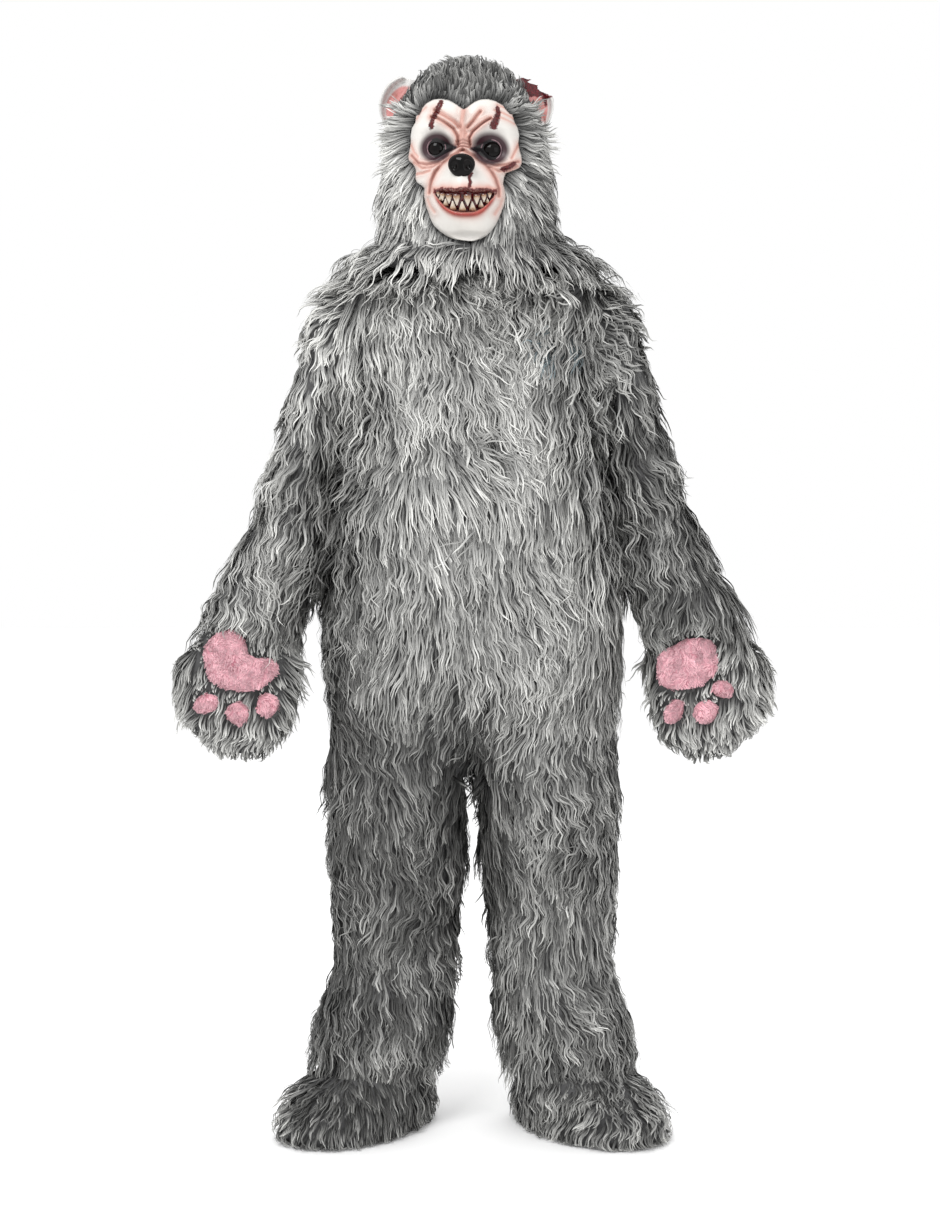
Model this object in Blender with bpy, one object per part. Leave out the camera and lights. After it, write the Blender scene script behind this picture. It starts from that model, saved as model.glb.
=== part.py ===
# Bear mascot costume: fur suit, hood, mask, mitts and boot covers, as they hang on a wearer.
# Lengths are metres. Heights are above the ground under the boots, and the costume faces -Y.
# Left and right are the wearer's, so the left side is at +X.
import math
from collections import namedtuple

import bmesh
import bpy

# Driving sizes
SHOULDER_HEIGHT = 1.440  # the origin, midway between the wearer's shoulders
SEAM = 0.0003  # between pieces sewn edge to edge
SEAT = 0.0006  # between pieces that lie on or in each other
FUR_WALL = 0.016  # backing cloth with its lying pile
MITT_WALL = 0.012
LATEX_WALL = 0.005
EAR_WALL = 0.009
SIDES = (("left", 1), ("right", -1))
HALVES = (("front", 1), ("back", -1))

# Roundness of a section's outline: 1 is an ellipse, smaller is squarer
BODY_ROUND = 0.88
LIMB_ROUND = 0.96
MITT_ROUND = 0.62

Section = namedtuple("Section", "height half_width front back")
LimbSection = namedtuple("LimbSection", "height centre half_width front back")
ArmSection = namedtuple(
    "ArmSection", "along inner_x inner_z outer_x outer_z half_depth forward"
)
FootSection = namedtuple("FootSection", "height ahead half_length half_width")
Outline = namedtuple("Outline", "height half_width")
Form = namedtuple("Form", "x height half_width half_height rise")
Pad = namedtuple("Pad", "name x height half_width half_height squareness notch")
Eye = namedtuple("Eye", "x height radius")

# Torso
LEG_SEAM = 0.600
SPLIT_TOP = 0.860  # where the legs begin to part
SPLIT_BEND = 1.7
NECK_RIM = 1.515
BODY = [
    Section(0.600, 0.253, 0.150, 0.150),
    Section(0.730, 0.255, 0.165, 0.160),
    Section(0.830, 0.263, 0.172, 0.166),
    Section(0.960, 0.254, 0.171, 0.162),
    Section(1.080, 0.236, 0.166, 0.155),
    Section(1.180, 0.220, 0.162, 0.150),
    Section(1.255, 0.212, 0.161, 0.147),
    Section(1.340, 0.221, 0.160, 0.146),
    Section(1.420, 0.231, 0.156, 0.143),
    Section(1.470, 0.226, 0.148, 0.134),
    Section(1.490, 0.180, 0.128, 0.120),
    Section(1.500, 0.140, 0.112, 0.108),
    Section(NECK_RIM, 0.105, 0.090, 0.092),
]
BODY_HEIGHTS = (
    LEG_SEAM, 0.612, 0.632, 0.660, 0.695, 0.735, 0.780, 0.825, 0.870,
    0.918, 0.966, 1.014, 1.062, 1.110, 1.158, 1.206,
)
BODY_INSIDE_HEIGHTS = (LEG_SEAM, 0.632, 0.695, 0.780, 0.900, 1.040, 1.160)
YOKE_HEIGHTS = (1.480, 1.489, 1.499, NECK_RIM)
PANEL_COLUMNS = 8
PANEL_INSIDE_COLUMNS = 5

# Armhole, an oval in the side of the torso
UNDERARM = 1.255
SHOULDER_SEAM = 1.470
ARMHOLE_HALF_DEPTH = 0.078
ARM_COLUMNS = 16

# Sleeve: its underside and its outer edge, from the armhole down to the cuff
ARM = [
    ArmSection(0, 0.212, 1.255, 0.226, 1.470, 0.078, 0.000),
    ArmSection(1, 0.222, 1.246, 0.258, 1.460, 0.080, 0.000),
    ArmSection(2, 0.228, 1.232, 0.281, 1.428, 0.081, 0.000),
    ArmSection(3, 0.232, 1.208, 0.299, 1.372, 0.080, 0.000),
    ArmSection(4, 0.236, 1.172, 0.317, 1.302, 0.078, 0.000),
    ArmSection(5, 0.241, 1.126, 0.336, 1.222, 0.076, -0.004),
    ArmSection(6, 0.247, 1.064, 0.361, 1.134, 0.077, -0.010),
    ArmSection(7, 0.258, 0.994, 0.393, 1.048, 0.080, -0.018),
    ArmSection(8, 0.273, 0.926, 0.433, 0.972, 0.084, -0.026),
    ArmSection(9, 0.290, 0.868, 0.472, 0.905, 0.086, -0.032),
]
CUFF = 9
SLEEVE_ROWS = 23
SLEEVE_INSIDE_PLACES = (0, 1, 2.2, 3.6, 5, 6.6, 8, CUFF)
SLEEVE_TIERS = 5.5  # folds of pile from shoulder to cuff
SLEEVE_TIER_RISE = 0.010

# Lower leg
LEG = [
    LimbSection(0.090, 0.168, 0.122, 0.125, 0.120),
    LimbSection(0.135, 0.1665, 0.121, 0.126, 0.120),
    LimbSection(0.206, 0.152, 0.121, 0.122, 0.118),
    LimbSection(0.294, 0.137, 0.110, 0.114, 0.114),
    LimbSection(0.381, 0.136, 0.117, 0.118, 0.118),
    LimbSection(0.469, 0.1325, 0.1245, 0.126, 0.126),
    LimbSection(0.557, 0.130, 0.1245, 0.130, 0.134),
    LimbSection(LEG_SEAM, 0.1265, 0.1265, 0.134, 0.140),
]
LEG_HEM = 0.135
LEG_COLUMNS = 22
LEG_ROWS = 13
LEG_INSIDE_HEIGHTS = (0.500, 0.400, 0.300, 0.200, 0.168, LEG_HEM)
LEG_STEP = 0.005  # how far the leg's pile lies inside the tier above it
LEG_STEP_HEIGHT = 0.045

# Boot cover
BOOT_TURN = math.radians(32)
BOOT_TOP = 0.200
BOOT_NECK = 0.124
BOOT_FLARE = 0.050
FOOT = [
    FootSection(0.000, 0.066, 0.176, 0.113),
    FootSection(0.030, 0.066, 0.180, 0.116),
    FootSection(0.060, 0.060, 0.170, 0.112),
    FootSection(0.085, 0.044, 0.150, 0.107),
    FootSection(0.110, 0.018, 0.122, 0.104),
    FootSection(0.130, 0.002, 0.106, 0.104),
]
BOOT_HEIGHTS = (BOOT_TOP, 0.168, LEG_HEM, 0.120, 0.104, 0.088, 0.070, 0.046, 0.022, 0.0)
BOOT_INSIDE_HEIGHTS = (BOOT_TOP, LEG_HEM, 0.110, 0.085, 0.050, 0.0)
INSTEP_DROP = 0.009

# Hood, with its cape over the shoulders and its opening for the face
HOOD_SEAT = 1.480  # where the cape's hem lies on the torso
HOOD = [
    Section(1.484, 0.222, 0.170, 0.160),
    Section(1.510, 0.196, 0.158, 0.155),
    Section(1.535, 0.168, 0.149, 0.152),
    Section(1.565, 0.157, 0.147, 0.153),
    Section(1.607, 0.155, 0.148, 0.158),
    Section(1.650, 0.149, 0.149, 0.161),
    Section(1.694, 0.143, 0.149, 0.161),
    Section(1.737, 0.138, 0.146, 0.157),
    Section(1.780, 0.124, 0.133, 0.144),
    Section(1.815, 0.098, 0.108, 0.118),
    Section(1.840, 0.062, 0.075, 0.082),
    Section(1.855, 0.000, 0.035, 0.040),
]
CAPE_HEIGHTS = (1.484, 1.498, 1.514, 1.530)
CAPE_INSIDE_HEIGHTS = (1.498, 1.520)
CROWN_HEIGHTS = (1.802, 1.820, 1.836, 1.848, 1.855)
CROWN_INSIDE_HEIGHTS = (1.805, 1.825)
HOOD_COLUMNS = 11
HOOD_INSIDE_COLUMNS = 7
HEAD_TURN = math.radians(-4)
HEAD_SHIFT = -0.010
HEAD_TURN_FROM = 1.500
HEAD_TURN_TO = 1.580

# Mask: its outline seen from the front, and the forms that stand out of it or sink in
FACE = [
    Outline(1.5365, 0.020),
    Outline(1.546, 0.036),
    Outline(1.562, 0.053),
    Outline(1.582, 0.063),
    Outline(1.604, 0.069),
    Outline(1.626, 0.075),
    Outline(1.650, 0.091),
    Outline(1.677, 0.098),
    Outline(1.705, 0.0975),
    Outline(1.732, 0.094),
    Outline(1.754, 0.085),
    Outline(1.772, 0.066),
    Outline(1.784, 0.034),
]
MASK_SINK = 0.006  # the mask's rim lies this far behind the tips of the fur round it
MASK_COLUMNS = 16
MASK_INSIDE_COLUMNS = 8
MASK_INSIDE_SHARE = 0.8  # how much of each form shows inside
MASK_FORMS = [
    Form(0.000, 1.607, 0.052, 0.046, 0.044),  # muzzle
    Form(0.000, 1.664, 0.019, 0.030, 0.018),  # bridge of the nose
    Form(0.000, 1.560, 0.034, 0.018, 0.008),  # chin
    Form(0.040, 1.727, 0.030, 0.011, 0.009),  # brows
    Form(0.036, 1.760, 0.026, 0.016, 0.005),  # lobes of the forehead
    Form(0.049, 1.694, 0.023, 0.017, -0.010),  # eye sockets
    Form(0.070, 1.655, 0.022, 0.016, 0.006),  # cheeks
    Form(0.000, 1.742, 0.008, 0.028, -0.006),  # frown
]
EYES = {"left": Eye(0.049, 1.692, 0.0172), "right": Eye(-0.049, 1.697, 0.0135)}
EYE_RISE = 0.008
NOSE = Pad("nose", 0.0, 1.6665, 0.0235, 0.0185, 0.95, 0.0)
NOSE_RISE = 0.014
MOUTH_HEIGHT = 1.598
MOUTH_HALF_WIDTH = 0.052
MOUTH_LIFT = 0.021  # the corners of the grin stand this much higher than its middle
TOOTH_COLUMNS = 15
TOOTH_LENGTH = 0.0125
TOOTH_POINT = 0.0045
TOOTH_RISE = 0.0042
FACE_SEAT = 0.0018  # the eyes, nose and teeth on the mask
FACE_GAP = 0.0009  # between the mask's rim and the hood

# Ears
EAR_FORWARD = 0.018
EAR_HEIGHT = 1.778
EAR_CENTRE = 0.104
EAR_SEAT = 0.0003
EAR_REACH = 0.046
EAR_HALF_HEIGHT = 0.050
EAR_ROOT_HALF_HEIGHT = 0.043
EAR_SWEEP = math.radians(82)
EAR_ROWS = 14
EAR_COLUMNS = 3
EAR_CUP = 0.007
EAR_BITES = ((38, 9, 0.34), (62, 6, 0.24), (76, 5, 0.30))  # place, half width in degrees, depth

# Mitts, below the wrist
MITT = [
    LimbSection(0.645, 0.405, 0.030, 0.000, 0.000),
    LimbSection(0.652, 0.405, 0.048, 0.017, 0.016),
    LimbSection(0.670, 0.405, 0.070, 0.034, 0.032),
    LimbSection(0.700, 0.406, 0.088, 0.047, 0.044),
    LimbSection(0.740, 0.410, 0.101, 0.055, 0.052),
    LimbSection(0.780, 0.412, 0.108, 0.060, 0.056),
    LimbSection(0.815, 0.404, 0.104, 0.062, 0.058),
    LimbSection(0.845, 0.394, 0.088, 0.061, 0.057),
]
MITT_FORWARD = -0.034
WRIST_PLACES = (8, CUFF)  # places along the sleeve
MITT_HEIGHTS = (0.845, 0.820, 0.795, 0.768, 0.740, 0.712, 0.688, 0.668, 0.653, 0.645)
MITT_INSIDE_STEPS = (0, 1, 3, 5, 7, 9)
MITT_COLUMNS = ARM_COLUMNS // 2
PAD_RISE = 0.011
PALM_PAD_SEAT = 0.0018
TOE_PAD_SEAT = 0.0006
PADS = {
    "left": [
        Pad("palm_pad", 0.368, 0.812, 0.050, 0.042, 0.62, 0.0),
        Pad("toe_pad_outer", 0.4285, 0.768, 0.018, 0.016, 0.95, 0.0),
        Pad("toe_pad_middle", 0.400, 0.728, 0.020, 0.020, 0.95, 0.0),
        Pad("toe_pad_inner", 0.346, 0.728, 0.0165, 0.023, 0.95, 0.0),
    ],
    "right": [
        Pad("palm_pad", 0.404, 0.813, 0.062, 0.043, 0.80, 0.16),
        Pad("toe_pad_outer", 0.459, 0.741, 0.020, 0.018, 0.95, 0.0),
        Pad("toe_pad_middle", 0.404, 0.724, 0.0175, 0.021, 0.95, 0.0),
        Pad("toe_pad_inner", 0.353, 0.740, 0.019, 0.021, 0.95, 0.0),
    ],
}

# Soft relief of the lying pile on the walls' outer points
PILE_RISE = 0.0042
PILE_ROW = 0.150
PILE_LOCKS = 9
HEM_TUFT = 0.014  # pointed locks at the hems

# Colours, roughness
FUR = ((0.23, 0.235, 0.24, 1), 0.75)
DARK_FUR = ((0.13, 0.135, 0.14, 1), 0.75)
LATEX = ((0.80, 0.74, 0.68, 1), 0.42)
EAR_SKIN = ((0.78, 0.62, 0.58, 1), 0.50)
BLACK_GLOSS = ((0.010, 0.009, 0.009, 1), 0.08)
IVORY = ((0.68, 0.58, 0.40, 1), 0.35)
PINK_PLUSH = ((0.86, 0.42, 0.46, 1), 0.85)


def smooth(share):
    share = min(max(share, 0.0), 1.0)
    return share * share * (3 - 2 * share)


def mix(first, second, share):
    return first + (second - first) * share


def mix_points(first, second, share):
    return tuple(mix(a, b, share) for a, b in zip(first, second))


def power(value, exponent):
    return math.copysign(abs(value) ** exponent, value)


def read(table, at):
    """The table's row at this place, on a smooth curve through its rows."""
    at = min(max(at, table[0][0]), table[-1][0])
    last = len(table) - 2
    place = next((i for i in range(last) if at < table[i + 1][0]), last)
    low, high = table[place], table[place + 1]
    before, after = table[max(place - 1, 0)], table[min(place + 2, len(table) - 1)]
    step = high[0] - low[0]
    share = (at - low[0]) / step
    lift, rest = smooth(share), share * (1 - share)
    values = []
    for start, left, right, end in zip(before, low, high, after):
        leave = (right - start) / (high[0] - before[0]) * step
        arrive = (end - left) / (after[0] - low[0]) * step
        bend = leave * rest * (1 - share) - arrive * rest * share
        values.append(mix(left, right, lift) + bend)
    return type(low)(*values)


def read_straight(table, at):
    """The second column at this height, on straight lines between the rows."""
    for low, high in zip(table, table[1:]):
        if at <= high[0]:
            return mix(low[1], high[1], (at - low[0]) / (high[0] - low[0]))
    return table[-1][1]


def inset(table, wall):
    """The same form, a wall's thickness further in along its outline."""
    moved = []
    for place, row in enumerate(table):
        below, above = table[max(place - 1, 0)], table[min(place + 1, len(table) - 1)]
        rise = above.height - below.height
        run = above.half_width - below.half_width
        out = wall * rise / math.hypot(rise, run)
        up = -wall * run / math.hypot(rise, run)
        moved.append(
            row._replace(
                height=row.height - up,
                half_width=max(row.half_width - out, 0.0),
                front=max(row.front - out, 0.0),
                back=max(row.back - out, 0.0),
            )
        )
    return moved


def spread(first, last, count):
    return [mix(first, last, i / (count - 1)) for i in range(count)]


def strip(faces, first, second, first_at=None, second_at=None):
    """Triangles between two lines of points, each matched by its place along the line."""
    first_at = first_at or spread(0, 1, max(len(first), 2))
    second_at = second_at or spread(0, 1, max(len(second), 2))
    i = j = 0
    while i < len(first) - 1 or j < len(second) - 1:
        first_moves = j == len(second) - 1 or (
            i < len(first) - 1 and first_at[i + 1] <= second_at[j + 1] + 1e-9
        )
        if first_moves:
            faces.append((first[i], first[i + 1], second[j]))
            i += 1
        else:
            faces.append((first[i], second[j + 1], second[j]))
            j += 1


def paint(piece, look):
    material = bpy.data.materials.new(piece.name)
    material.use_nodes = True
    shader = material.node_tree.nodes["Principled BSDF"]
    shader.inputs["Base Color"].default_value = look[0]
    shader.inputs["Roughness"].default_value = look[1]
    shader.inputs["Metallic"].default_value = 0.0
    piece.data.materials.append(material)


def wall(name, outside, inside, look, closed=False, outside_at=None, inside_at=None):
    """One closed solid between two grids of points, which need not have as many rows or columns."""
    points, faces, grids = [], [], []
    for grid in (outside, inside):
        rows = []
        for row in grid:
            rows.append(list(range(len(points), len(points) + len(row))))
            points.extend(row)
            if closed and len(row) > 1:
                rows[-1].append(rows[-1][0])
        for low, high in zip(rows, rows[1:]):
            strip(faces, low, high)
        grids.append(rows)
    outer, inner = grids
    for end in (0, -1):
        if len(outer[end]) > 1:
            strip(faces, outer[end], inner[end])
    if not closed:
        for side in (0, -1):
            outer_edge = [row[side] for row in outer]
            inner_edge = [row[side] for row in inner]
            strip(faces, outer_edge, inner_edge, outside_at, inside_at)
    mesh = bpy.data.meshes.new(name)
    mesh.from_pydata(points, [], faces)
    form = bmesh.new()
    form.from_mesh(mesh)
    bmesh.ops.recalc_face_normals(form, faces=form.faces)
    form.to_mesh(mesh)
    form.free()
    mesh.shade_smooth()
    mesh.set_sharp_from_angle(angle=math.radians(50))
    piece = bpy.data.objects.new(name, mesh)
    bpy.context.collection.objects.link(piece)
    piece.parent = bpy.data.objects["costume"]
    paint(piece, look)
    return piece


def pile(angle, height, side):
    """How far the pile stands out here: soft rows that wander, broken into locks."""
    angle = angle if side > 0 else math.pi - angle
    rows = math.sin(math.tau * height / PILE_ROW + 1.4 * math.sin(3 * angle))
    locks = math.sin(PILE_LOCKS * angle + 2.2 * math.sin(math.tau * height / 0.33))
    return PILE_RISE * (0.5 * rows + 0.5 * locks * (0.6 + 0.4 * rows))


def body_x(table, y, height):
    """How far out the torso's side is at this depth and height."""
    section = read(table, height)
    depth = section.front if y < 0 else section.back
    rest = max(1 - (abs(y) / depth) ** (2 / BODY_ROUND), 0.0)
    return section.half_width * rest ** (BODY_ROUND / 2)


def armhole_heights():
    middle, half = (UNDERARM + SHOULDER_SEAM) / 2, (SHOULDER_SEAM - UNDERARM) / 2
    steps = ARM_COLUMNS // 2
    return [middle - half * math.cos(math.pi * i / steps) for i in range(steps + 1)]


def armhole_half_depth(height):
    middle, half = (UNDERARM + SHOULDER_SEAM) / 2, (SHOULDER_SEAM - UNDERARM) / 2
    rest = max(1 - ((height - middle) / half) ** 2, 0.0)
    return ARMHOLE_HALF_DEPTH * math.sqrt(rest)


def leg_ring(angle, height, inward, half_width_less=0.0):
    section = read(LEG, height)
    depth = section.front if math.sin(angle) > 0 else section.back
    half_width = section.half_width - inward - half_width_less
    x = section.centre + half_width * power(math.cos(angle), LIMB_ROUND)
    y = -(depth - inward - half_width_less) * power(math.sin(angle), LIMB_ROUND)
    return x, y, height


def torso_point(table, inward, half, height, share, relief, side):
    """A point of a torso panel: share runs from the centre seam to the side seam."""
    section = read(table, height)
    depth = section.front if half > 0 else section.back
    edge = math.asin((armhole_half_depth(height) / depth) ** (1 / BODY_ROUND))
    angle = mix(math.pi / 2, edge, share)
    x = section.half_width * power(math.cos(angle), BODY_ROUND)
    y = -half * depth * power(math.sin(angle), BODY_ROUND)
    part = min(max((SPLIT_TOP - height) / (SPLIT_TOP - LEG_SEAM), 0.0), 1.0) ** SPLIT_BEND
    leg_angle = half * math.pi * (1 - share)
    leg_x, leg_y, _ = leg_ring(leg_angle, LEG_SEAM, inward)
    x, y = mix(x, leg_x, part), mix(y, leg_y, part)
    if relief:
        hidden = smooth((height - 1.40) / 0.06)
        near_edge = smooth((share - 0.72) / 0.2) * smooth((height - 1.18) / 0.07)
        rise = pile(half * angle, height, side) * (1 - hidden) * (1 - near_edge)
        rise += LEG_STEP * smooth((LEG_SEAM + 0.07 - height) / 0.07)
        x += rise * math.cos(angle) * smooth(x / 0.03)
        y -= half * rise * math.sin(angle) * (1 - part)
    x = max(x, SEAM / 2)
    y = -half * max(-half * y, SEAM / 2)
    return side * x, y, height


def torso_panel(half_name, half, side_name, side):
    inner_body = inset(BODY, FUR_WALL)
    heights = [*BODY_HEIGHTS, *armhole_heights(), *YOKE_HEIGHTS]
    inside_top = inner_body[-1].height
    inside = [*BODY_INSIDE_HEIGHTS, *armhole_heights()]
    inside += spread(SHOULDER_SEAM, inside_top, 4)[1:]
    outside_at = heights[:-4] + spread(2, 3, 4)
    inside_at = inside[:-3] + spread(2, 3, 3)
    shares = spread(0, 1, PANEL_COLUMNS + 1)
    inside_shares = spread(0, 1, PANEL_INSIDE_COLUMNS + 1)
    wall(
        f"torso_{half_name}_{side_name}",
        [[torso_point(BODY, 0, half, z, s, True, side) for s in shares] for z in heights],
        [
            [torso_point(inner_body, FUR_WALL, half, z, s, False, side) for s in inside_shares]
            for z in inside
        ],
        FUR,
        outside_at=outside_at,
        inside_at=inside_at,
    )


def armhole_point(table, angle, side):
    """The sleeve's first ring: the armhole's edge, a seam's width further in."""
    middle, half = (UNDERARM + SHOULDER_SEAM) / 2, (SHOULDER_SEAM - UNDERARM) / 2
    height = middle + (half - SEAT) * math.cos(angle)
    y = -(ARMHOLE_HALF_DEPTH - SEAT) * math.sin(angle)
    return side * body_x(table, y, height), y, height


def arm_ring(along, angle, inward, rise=0.0):
    """A ring of the sleeve: angle 0 is its outer edge, a quarter turn its front."""
    row = read(ARM, along)
    across = (row.outer_x - row.inner_x) / 2, (row.outer_z - row.inner_z) / 2
    size = math.hypot(*across)
    part = (size - inward + rise) / size * math.cos(angle)
    x = (row.outer_x + row.inner_x) / 2 + across[0] * part
    z = (row.outer_z + row.inner_z) / 2 + across[1] * part
    y = row.forward - (row.half_depth - inward + rise) * math.sin(angle)
    return x, y, z


def sleeve_fold(along, angle, side):
    """Slanting tiers of fur that swell downwards and fall in at the next one."""
    slant = 0.22 * math.sin(angle) + 0.10 * math.sin(2 * angle + side)
    place = along / CUFF * SLEEVE_TIERS + slant + (0.15 if side > 0 else 0.0)
    share = place % 1.0
    swell = smooth(share / 0.72) if share < 0.72 else smooth((1 - share) / 0.28)
    worn = smooth((along - 0.6) / 1.2) * (1 - smooth((along - 8.4) / 0.6))
    underside = 0.35 + 0.65 * smooth((1 + math.cos(angle)) / 0.8)
    return SLEEVE_TIER_RISE * (swell - 0.35) * worn * underside


def sleeve(name, side):
    angles = [math.tau * i / ARM_COLUMNS for i in range(ARM_COLUMNS)]
    inner_body = inset(BODY, FUR_WALL)

    def ring(along, table, inward, relief):
        points = []
        for i, angle in enumerate(angles):
            rise = sleeve_fold(along, angle, side) if relief else 0.0
            x, y, z = arm_ring(along, angle, inward, rise)
            if relief and along == CUFF:
                z -= HEM_TUFT * (i % 2) * 0.7
            point = mix_points(
                armhole_point(table, angle, side), (side * x, y, z), smooth(along)
            )
            points.append(point)
        return points

    outside = [ring(a, BODY, 0, True) for a in spread(0, CUFF, SLEEVE_ROWS)]
    inside = [ring(a, inner_body, FUR_WALL, False) for a in SLEEVE_INSIDE_PLACES]
    wall(f"sleeve_{name}", outside, inside, FUR, closed=True)


def leg(name, side):
    angles = [math.tau * i / LEG_COLUMNS for i in range(LEG_COLUMNS)]
    top = LEG_SEAM - SEAM

    def ring(height, inward, relief):
        points = []
        for i, angle in enumerate(angles):
            less = 0.0
            if relief:
                less = LEG_STEP * smooth((height - top + LEG_STEP_HEIGHT) / LEG_STEP_HEIGHT)
                less -= pile(angle, height, side) * smooth((top - height) / 0.03)
            x, y, z = leg_ring(angle, height, inward, less)
            if relief and height == LEG_HEM:
                z -= HEM_TUFT * (i % 2)
            points.append((side * max(x, SEAM / 2), y, z))
        return points

    outside = [ring(z, 0, True) for z in spread(top, LEG_HEM, LEG_ROWS)]
    inside = [ring(z, FUR_WALL, False) for z in (top, *LEG_INSIDE_HEIGHTS)]
    wall(f"leg_{name}", outside, inside, FUR, closed=True)


def foot_ring(angle, height, inward):
    row = read(FOOT, height)
    across = (row.half_width - inward) * math.cos(angle)
    ahead = row.ahead + (row.half_length - inward) * power(math.sin(angle), 0.92)
    ankle = read(LEG, BOOT_NECK).centre
    x = ankle + across * math.cos(BOOT_TURN) + ahead * math.sin(BOOT_TURN)
    y = across * math.sin(BOOT_TURN) - ahead * math.cos(BOOT_TURN)
    return x, y, height


def boot(name, side):
    angles = [math.tau * i / LEG_COLUMNS for i in range(LEG_COLUMNS)]

    def ring(height, inward, relief):
        points = []
        spread_out = smooth((BOOT_NECK - height) / BOOT_FLARE)
        for angle in angles:
            shaft = leg_ring(angle, height, FUR_WALL + SEAT + inward)
            thinner = inward
            if relief:
                thinner -= 1.3 * pile(angle, height * 1.6, side) * smooth((0.09 - height) / 0.04)
            x, y, z = mix_points(shaft, foot_ring(angle, height, thinner), spread_out)
            if inward:
                z -= INSTEP_DROP * spread_out * smooth(height / 0.05)
            points.append((side * x, y, z))
        return points

    outside = [ring(z, 0, True) for z in BOOT_HEIGHTS]
    inside = [ring(z, FUR_WALL, False) for z in BOOT_INSIDE_HEIGHTS]
    wall(f"boot_{name}", outside, inside, FUR, closed=True)


def turn_head(point):
    """The head looks a little to one side, and the cape's hem stays on the shoulders."""
    x, y, z = point
    share = smooth((z - HEAD_TURN_FROM) / (HEAD_TURN_TO - HEAD_TURN_FROM))
    angle = HEAD_TURN * share
    turned_x = x * math.cos(angle) - y * math.sin(angle)
    turned_y = x * math.sin(angle) + y * math.cos(angle)
    return turned_x + HEAD_SHIFT * share, turned_y, z


def hood_point(table, height, share, relief, side, column=0):
    """A point of the hood: share runs from the back seam to the front or the face opening."""
    section = read(table, height)
    edge = math.pi / 2
    opening = FACE[0].height - 1e-6 < height < FACE[-1].height + 1e-6
    if opening:
        reach = read_straight(FACE, height) + FACE_GAP
        edge = math.acos(min(reach / section.half_width, 1.0) ** (1 / BODY_ROUND))
    angle = mix(-math.pi / 2, edge, share)
    depth = section.front if angle > 0 else section.back
    half_width, drop = section.half_width, 0.0
    if relief:
        near_face = smooth((share - 0.7) / 0.2) if opening else 0.0
        rise = pile(angle, height * 1.4, side) * smooth((height - 1.50) / 0.03)
        rise *= (1 - near_face) * smooth((HOOD[-1].height - height) / 0.03)
        half_width, depth = half_width + rise, depth + rise
        if height == CAPE_HEIGHTS[0]:
            drop = -HEM_TUFT * (column % 2)
    x = max(half_width * power(math.cos(angle), BODY_ROUND), SEAM / 2)
    y = -depth * power(math.sin(angle), BODY_ROUND)
    return turn_head((side * x, y, height - drop))


def cape_seat_point(share, side):
    """The cape's hem on the torso, inside the pile."""
    section = read(BODY, HOOD_SEAT)
    angle = mix(-math.pi / 2, math.pi / 2, share)
    depth = section.front if angle > 0 else section.back
    x = max((section.half_width + SEAT) * power(math.cos(angle), BODY_ROUND), SEAM / 2)
    y = -(depth + SEAT) * power(math.sin(angle), BODY_ROUND)
    return side * x, y, HOOD_SEAT + SEAT


def hood(name, side):
    inner_hood = inset(HOOD, FUR_WALL)
    face_heights = [row.height for row in FACE]
    heights = [*CAPE_HEIGHTS, *face_heights, *CROWN_HEIGHTS]
    inside_top = inner_hood[-1].height
    inside = [*CAPE_INSIDE_HEIGHTS, *face_heights, *CROWN_INSIDE_HEIGHTS, inside_top]
    columns = spread(0, 1, HOOD_COLUMNS + 1)
    inside_columns = spread(0, 1, HOOD_INSIDE_COLUMNS + 1)
    outside_grid = [
        [hood_point(HOOD, z, s, True, side, i) for i, s in enumerate(columns)]
        for z in heights
    ]
    inside_grid = [[cape_seat_point(s, side) for s in spread(0, 1, 2 * PANEL_COLUMNS + 1)]]
    inside_grid += [
        [hood_point(inner_hood, z, s, False, side) for s in inside_columns] for z in inside
    ]
    crown_at = spread(2, 3, len(CROWN_HEIGHTS))
    inside_crown_at = spread(2, 3, len(CROWN_INSIDE_HEIGHTS) + 1)
    wall(
        f"hood_{name}",
        outside_grid,
        inside_grid,
        FUR,
        outside_at=heights[: -len(crown_at)] + crown_at,
        inside_at=[HOOD_SEAT] + inside[: -len(inside_crown_at)] + inside_crown_at,
    )


def mask_depth(x, height, forms=1.0):
    """How far forward the mask's surface stands, before the head turns."""
    section = read(HOOD, height)
    across = min(abs(x) / (section.half_width - MASK_SINK), 1.0)
    base = (section.front - MASK_SINK) * (1 - across ** (2 / BODY_ROUND)) ** (BODY_ROUND / 2)
    edge = min(abs(x) / read_straight(FACE, height), 1.0)
    ends = smooth((height - FACE[0].height) / 0.014) * smooth((FACE[-1].height - height) / 0.014)
    rise = 0.0
    for form in MASK_FORMS:
        away = (abs(x) - form.x) / form.half_width
        above = (height - form.height) / form.half_height
        share = forms if form.rise > 0 else 1.0
        rise += share * form.rise * math.exp(-away * away - above * above)
    return base + rise * (1 - edge**4) * ends


def mask_point(x, height, forward=0.0):
    return turn_head((x, -mask_depth(x, height) - forward, height))


def mask():
    face_heights = [row.height for row in FACE]
    heights = []
    for low, high in zip(face_heights, face_heights[1:]):
        heights += [low, (low + high) / 2]
    heights.append(face_heights[-1])
    outside, inside = [], []
    for z in heights:
        reach = read_straight(FACE, z)
        outside.append([mask_point(p * reach, z) for p in spread(-1, 1, MASK_COLUMNS + 1)])
    for z in face_heights:
        row = []
        for place in spread(-1, 1, MASK_INSIDE_COLUMNS + 1):
            x = place * read_straight(FACE, z)
            row.append(turn_head((x, LATEX_WALL - mask_depth(x, z, MASK_INSIDE_SHARE), z)))
        inside.append(row)
    wall("mask", outside, inside, LATEX, outside_at=heights, inside_at=face_heights)


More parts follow.
